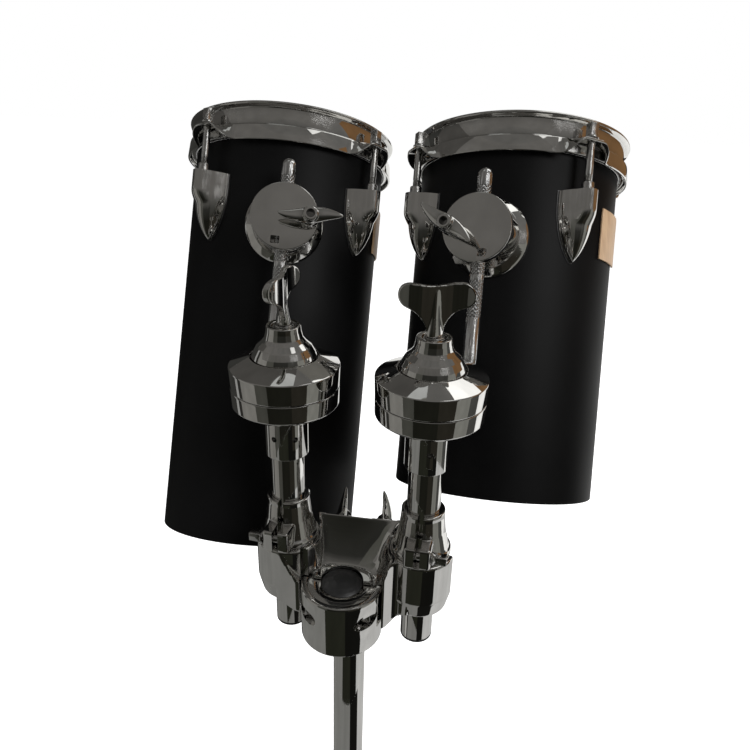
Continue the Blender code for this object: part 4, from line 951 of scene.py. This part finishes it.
def make_hoop(name, drum):
    """Pressed steel counterhoop: rolled lip, recessed band, and a skirt turned out into four ears."""
    length = SHELL_LENGTHS[name] / MM
    shelf = length - 4
    top = length + HOOP_RISE / MM
    steps = 288
    bm = bmesh.new()
    rings = []
    for index in range(steps):
        azimuth = 360 * index / steps
        slope = ear_slope(azimuth)
        hang = math.sin(-slope)
        end = (81.2 + 11.5 * math.cos(slope), shelf + 11.5 * math.sin(slope))
        back = (end[0] - 1.6 * hang, end[1] - 1.6 * math.cos(slope))
        section = [(77.0, top - 1.4, 0.9), (78.4, top, 0.9), (81.6, top, 1.0), (82.2, top - 1.0, 0.6),
                   (81.9, top - 2.1, 0.6), (78.4, length + 8.6, 1.2), (78.3, shelf, 1.2), (81.2, shelf, 1.0),
                   (*end, 0.6), (*back, 0.6), (80.3 - 0.3 * hang, shelf - 1.6, 0.8), (76.7, shelf - 1.6, 0.4)]
        t = math.radians(azimuth)
        rings.append([bm.verts.new((r * math.sin(t), -r * math.cos(t), z)) for r, z in rounded(section, 3)])
    skin(bm, rings, True)
    holes = []
    for azimuth in LUG_AZIMUTHS:
        hole = cylinder(TENSION_RADIUS + 0.6 * MM, (length - 12) * MM, length * MM, 32)
        holes.append((hole, turned("Z", azimuth) @ place(0, -TENSION_CIRCLE, 0)))
    refine(f"{name}_hoop", carved(bm, (merged(*holes), Matrix())), drum, 60)


def lug_half_width(share):
    narrow = max(0.0, (share - 0.16) / 0.84)
    return LUG_HALF_WIDTH * (1 - narrow ** 2.1) ** 0.8 + 0.35 * MM


def lug_body():
    """Pointed casting with a round barrel down its middle; its top is at 0 and -Y is out."""
    bm = bmesh.new()
    rows, columns = 40, 37
    barrel = 6.9 * MM
    rings = []
    for i in range(rows + 1):
        share = i / rows
        half = lug_half_width(share)
        rise = 13.5 * MM * (1 - max(0.0, (share - 0.30) / 0.70) ** 2.2) ** 0.75 + 1.2 * MM
        fade = min(max((share - 0.28) / 0.60, 0), 1)
        fade = fade * fade * (3 - 2 * fade)
        front, back = [], []
        for k in range(columns):
            x = half * math.sin((2 * k / (columns - 1) - 1) * math.pi / 2)
            depth = rise * (1 - abs(x / half) ** 2.1) ** 0.75
            if abs(x) < barrel:
                depth = max(depth, (math.sqrt(barrel ** 2 - x * x) + 12.1 * MM) * (1 - fade))
            floor = math.sqrt(LUG_SEAT * LUG_SEAT - x * x)
            front.append(bm.verts.new((x, -floor - max(depth, 0.9 * MM), -LUG_LENGTH * share)))
            back.append(bm.verts.new((x, -floor, -LUG_LENGTH * share)))
        rings.append(front + back[::-1])
    skin(bm, rings, False)
    return bm


def gasket():
    """Thin sheet between a lug and its shell, a little larger than the lug's foot."""
    bm = bmesh.new()
    rings = []
    for i in range(25):
        share = i / 24
        half = lug_half_width(share) + 0.7 * MM
        height = 0.5 * MM - LUG_LENGTH * share * 1.015
        xs = [half * (k / 8 - 1) for k in range(17)]
        ring = []
        for radius, across in ((SHELL_RADIUS + 0.5 * MM, xs), (SHELL_RADIUS + 0.05 * MM, xs[::-1])):
            ring += [bm.verts.new((x, -math.sqrt(radius * radius - x * x), height)) for x in across]
        rings.append(ring)
    skin(bm, rings, False)
    return bm


def make_lugs(name, drum):
    """Four lugs with their swivel nuts, gaskets and tension rods."""
    body = f"{name}_drum"
    top = SHELL_LENGTHS[name] - LUG_DROP
    rod_seat = SHELL_LENGTHS[name] - 4 * MM
    nut = rounded([(2.9, -6), (4.3, -6), (4.3, 5.5, 0.7), (2.9, 5.5, 0.3)])
    for index, azimuth in enumerate(LUG_AZIMUTHS, 1):
        frame_here = drum @ turned("Z", azimuth) @ place(0, 0, top)
        on_axis = frame_here @ place(0, -TENSION_CIRCLE, 0)
        bore = cylinder(TENSION_RADIUS + GAP, -22 * MM, 5 * MM, 32)
        lug = carved(eased(lug_body(), 0.5 * MM, 44), (bore, place(0, -TENSION_CIRCLE, 0)))
        refine(f"{name}_lug_{index}", lug, frame_here, 44)
        add_piece(f"{name}_lug_nut_{index}", lathe(nut, 40), on_axis, body, "plated_steel")
        add_piece(f"{name}_lug_gasket_{index}", gasket(), frame_here, body, "black_rubber")
        key_bolt(f"{name}_tension_rod_{index}", on_axis @ place(0, 0, rod_seat - top), TENSION_RADIUS,
                 rod_seat - top + 20 * MM, 6.2 * MM, 9 * MM, 30 * MM)


def make_badge(name, drum):
    """Plain wooden plate, curved to the shell."""
    middle = SHELL_LENGTHS[name] - BADGE_DROP
    half = math.degrees(BADGE_SIZE / 2 / SHELL_RADIUS)
    inner = SHELL_RADIUS + GAP
    outline = arc((0, 0), inner, -half, half, 24) + arc((0, 0), inner + 1.5 * MM, half, -half, 24)
    plate = eased(prism(outline, middle - BADGE_SIZE / 2, middle + BADGE_SIZE / 2), 0.4 * MM, 50)
    refine(f"{name}_badge", plate, drum @ turned("Z", BADGE_AZIMUTH - 90))


def make_bracket(name, side, drum):
    """Flanged base on the shell, the disc that clamps the rod against it, and the wing screw."""
    here = drum @ place(0, -SHELL_RADIUS, SHELL_LENGTHS[name] - BRACKET_DROP) @ turned("X", 90)
    body = f"{name}_drum"
    flange = rounded([(0, -3), (27.8, -3), (27.8, 1.6, 0.8), (26.8, 2.8, 0.5), (22.6, 6.4, 0.8), (0, 6.4)])
    shell = cylinder(SHELL_RADIUS + GAP, -60 * MM, 60 * MM, 192)
    shell_axis = place(0, 0, -SHELL_RADIUS) @ turned("X", 90)
    rod_axis = place(0, 0, ROD_STANDOFF) @ turned("X", 90)
    screw_axis = place(-side * BRACKET_SCREW_X, 0, 0)
    refine(f"{name}_bracket_base", carved(lathe(flange, 128), (shell, shell_axis)), here)
    waist = [(x, y * 0.62) for x, y in arc((0, 0), 21.6 * MM, 0, 360, 72)[:-1]]
    neck = carved(eased(prism(waist, 6.0 * MM, 23.6 * MM), 0.6 * MM),
                  (cylinder(SLEEVE_FIT, -40 * MM, 40 * MM, 64), rod_axis),
                  (cylinder(2.8 * MM, 11 * MM, 30 * MM, 40), screw_axis))
    add_piece(f"{name}_bracket_neck", neck, here, body, "chrome")
    plate = rounded([(0, 24.2), (18, 24.2, 0.8), (19.2, 28.5, 0.5), (23, 28.5, 0.7), (23, 33.5, 0.9), (0, 33.5)], 5)
    square = rounded([(-3, -2.6, 0.6), (3, -2.6, 0.6), (3, 2.6, 0.6), (-3, 2.6, 0.6)], 3)
    socket = place(side * 5 * MM, -16.4 * MM, 0)
    disc = carved(lathe(plate, 160), (cylinder(SLEEVE_FIT, -40 * MM, 40 * MM, 64), rod_axis),
                  (cylinder(2.8 * MM, 20 * MM, 45 * MM, 40), screw_axis),
                  (prism(square, DISC_FRONT - 8 * MM, DISC_FRONT + 2 * MM), socket))
    refine(f"{name}_bracket_disc", disc, here)
    hexagon = rounded([(x, y, 0.5) for x, y in arc((0, 0), 5.2, 0, 360, 6)[:-1]], 2)
    nut = eased(prism(hexagon, 0, 7 * MM), 0.4 * MM, 50)
    add_piece(f"{name}_bracket_nut", nut, here @ place(-side * 15.5 * MM, -16 * MM, 6.2 * MM), body, "plated_steel")
    seat = here @ screw_axis @ place(0, 0, DISC_FRONT + GAP) @ turned("Z", SCREW_SPIN[name])
    leaf_screw(f"{name}_bracket_wing_screw", seat, 2.5 * MM, 20 * MM, 5.0, 17.4, 21.8, 5.4, 0.16)


def make_camera():
    turn, pitch, roll = (math.radians(v) for v in (CAMERA_TURN, CAMERA_PITCH, CAMERA_ROLL))
    ahead = Vector((-math.sin(turn), math.cos(turn), 0))
    right = Vector((math.cos(turn), math.sin(turn), 0))
    up = Vector((0, 0, 1))
    forward = math.cos(pitch) * ahead - math.sin(pitch) * up
    down = -math.sin(pitch) * ahead - math.cos(pitch) * up
    x_axis = math.cos(roll) * right + math.sin(roll) * down
    y_axis = math.sin(roll) * right - math.cos(roll) * down
    data = bpy.data.cameras.new("camera")
    data.lens = CAMERA_LENS
    data.sensor_width = 36
    data.clip_start = 0.01
    camera = bpy.data.objects.new("camera", data)
    basis = Matrix((x_axis, y_axis, -forward)).transposed().to_4x4()
    camera.matrix_world = Matrix.Translation(CAMERA_PLACE) @ basis
    bpy.context.scene.collection.objects.link(camera)
    bpy.context.scene.camera = camera


def make_world():
    """White to look at, and a softer light on the object."""
    world = bpy.data.worlds.new("world")
    bpy.context.scene.world = world
    n = Nodes(world)
    shader = n.add("ShaderNodeBackground")
    shader.inputs["Color"].default_value = (1, 1, 1, 1)
    n.link(n.range(n.background_rays(), 0, 1, 0.45, 1.0), shader.inputs["Strength"])
    n.finish(shader.outputs["Background"], "ShaderNodeOutputWorld")


def stage_object(name, bm, look):
    mesh = to_mesh(name, bm)
    mesh.materials.append(look)
    made = bpy.data.objects.new(name, mesh)
    bpy.context.scene.collection.objects.link(made)
    return made


def make_floor():
    look, n = material("floor")
    diffuse = n.add("ShaderNodeBsdfDiffuse")
    diffuse.inputs["Color"].default_value = (0.86, 0.86, 0.86, 1)
    glow = n.add("ShaderNodeEmission")
    n.link(n.range(n.background_rays(), 0, 1, 0, 0.62), glow.inputs["Strength"])
    both = n.add("ShaderNodeAddShader")
    n.link(diffuse.outputs[0], both.inputs[0])
    n.link(glow.outputs[0], both.inputs[1])
    n.finish(both.outputs[0], "ShaderNodeOutputMaterial")
    bm = bmesh.new()
    bmesh.ops.create_grid(bm, x_segments=1, y_segments=1, size=7)
    stage_object("floor", bm, look).location.z = -0.5 * MM


def room_point(turn, height):
    """Where a direction from the object's middle meets the room, no lower than the floor."""
    t, e = math.radians(turn), math.radians(height)
    ray = Vector((math.cos(e) * math.sin(t), -math.cos(e) * math.cos(t), math.sin(e)))
    reach = ROOM_RADIUS
    if ray.z < 0:
        reach = min(reach, (2 * MM - ROOM_CENTRE.z) / ray.z)
    return ROOM_CENTRE + ray * reach


def make_room():
    """Cards round the object that only reflections see, so that plating shows light and dark bands."""
    for index, (left, right, low, high, *tones) in enumerate(CARDS):
        look, n = material(f"card_{index}")
        glow = n.add("ShaderNodeEmission")
        parts = n.add("ShaderNodeSeparateXYZ")
        n.link(n.add("ShaderNodeTexCoord").outputs["Generated"], parts.inputs["Vector"])
        n.link(n.ramp(parts.outputs["Z"], 0, tones[0], 1, tones[-1]), glow.inputs["Color"])
        n.link(n.range(n.noise(6, 3), 0.3, 0.7, 0.8, 1), glow.inputs["Strength"])
        n.finish(glow.outputs[0], "ShaderNodeOutputMaterial")
        across = max(2, int((right - left) / 4))
        up = max(2, int((high - low) / 4))
        bm = bmesh.new()
        grid = []
        for i in range(across + 1):
            turn = left + (right - left) * i / across
            grid.append([bm.verts.new(room_point(turn, low + (high - low) * j / up)) for j in range(up + 1)])
        for first, second in zip(grid, grid[1:]):
            for j in range(up):
                bm.faces.new((first[j], second[j], second[j + 1], first[j + 1]))
        card = stage_object(f"card_{index}", bm, look)
        card.visible_camera = False
        card.visible_diffuse = False
        card.visible_transmission = False
        card.visible_shadow = False


def area_light(name, position, size, power):
    data = bpy.data.lights.new(name, "AREA")
    data.shape = "DISK"
    data.size = size
    data.energy = power
    lamp = bpy.data.objects.new(name, data)
    lamp.location = position
    aim = Vector((0, 0.08, 0.45)) - Vector(position)
    lamp.rotation_euler = aim.to_track_quat("-Z", "Y").to_euler()
    bpy.context.scene.collection.objects.link(lamp)


def make_side(name, side):
    drum = drum_matrix(name)
    make_post(name, side)
    make_lock(name, side)
    make_housing(name, side)
    make_dome(name, side)
    make_top_bolt(name, side)
    make_rod(name, side)
    make_shell(name, drum)
    make_head(name, drum)
    make_hoop(name, drum)
    make_lugs(name, drum)
    make_badge(name, drum)
    make_bracket(name, side, drum)


dress_nodes()
make_pole()
make_clamp()
make_cap()
for side_name, side_sign in SIDES.items():
    make_side(side_name, side_sign)
make_world()
make_floor()
make_room()
area_light("key", (1.3, -0.9, 1.5), 0.9, 26)
area_light("fill", (-1.4, -0.6, 1.1), 1.2, 9)
area_light("back", (0.3, 1.5, 1.4), 1.0, 12)
make_camera()

bpy.context.scene.view_settings.view_transform = "Standard"
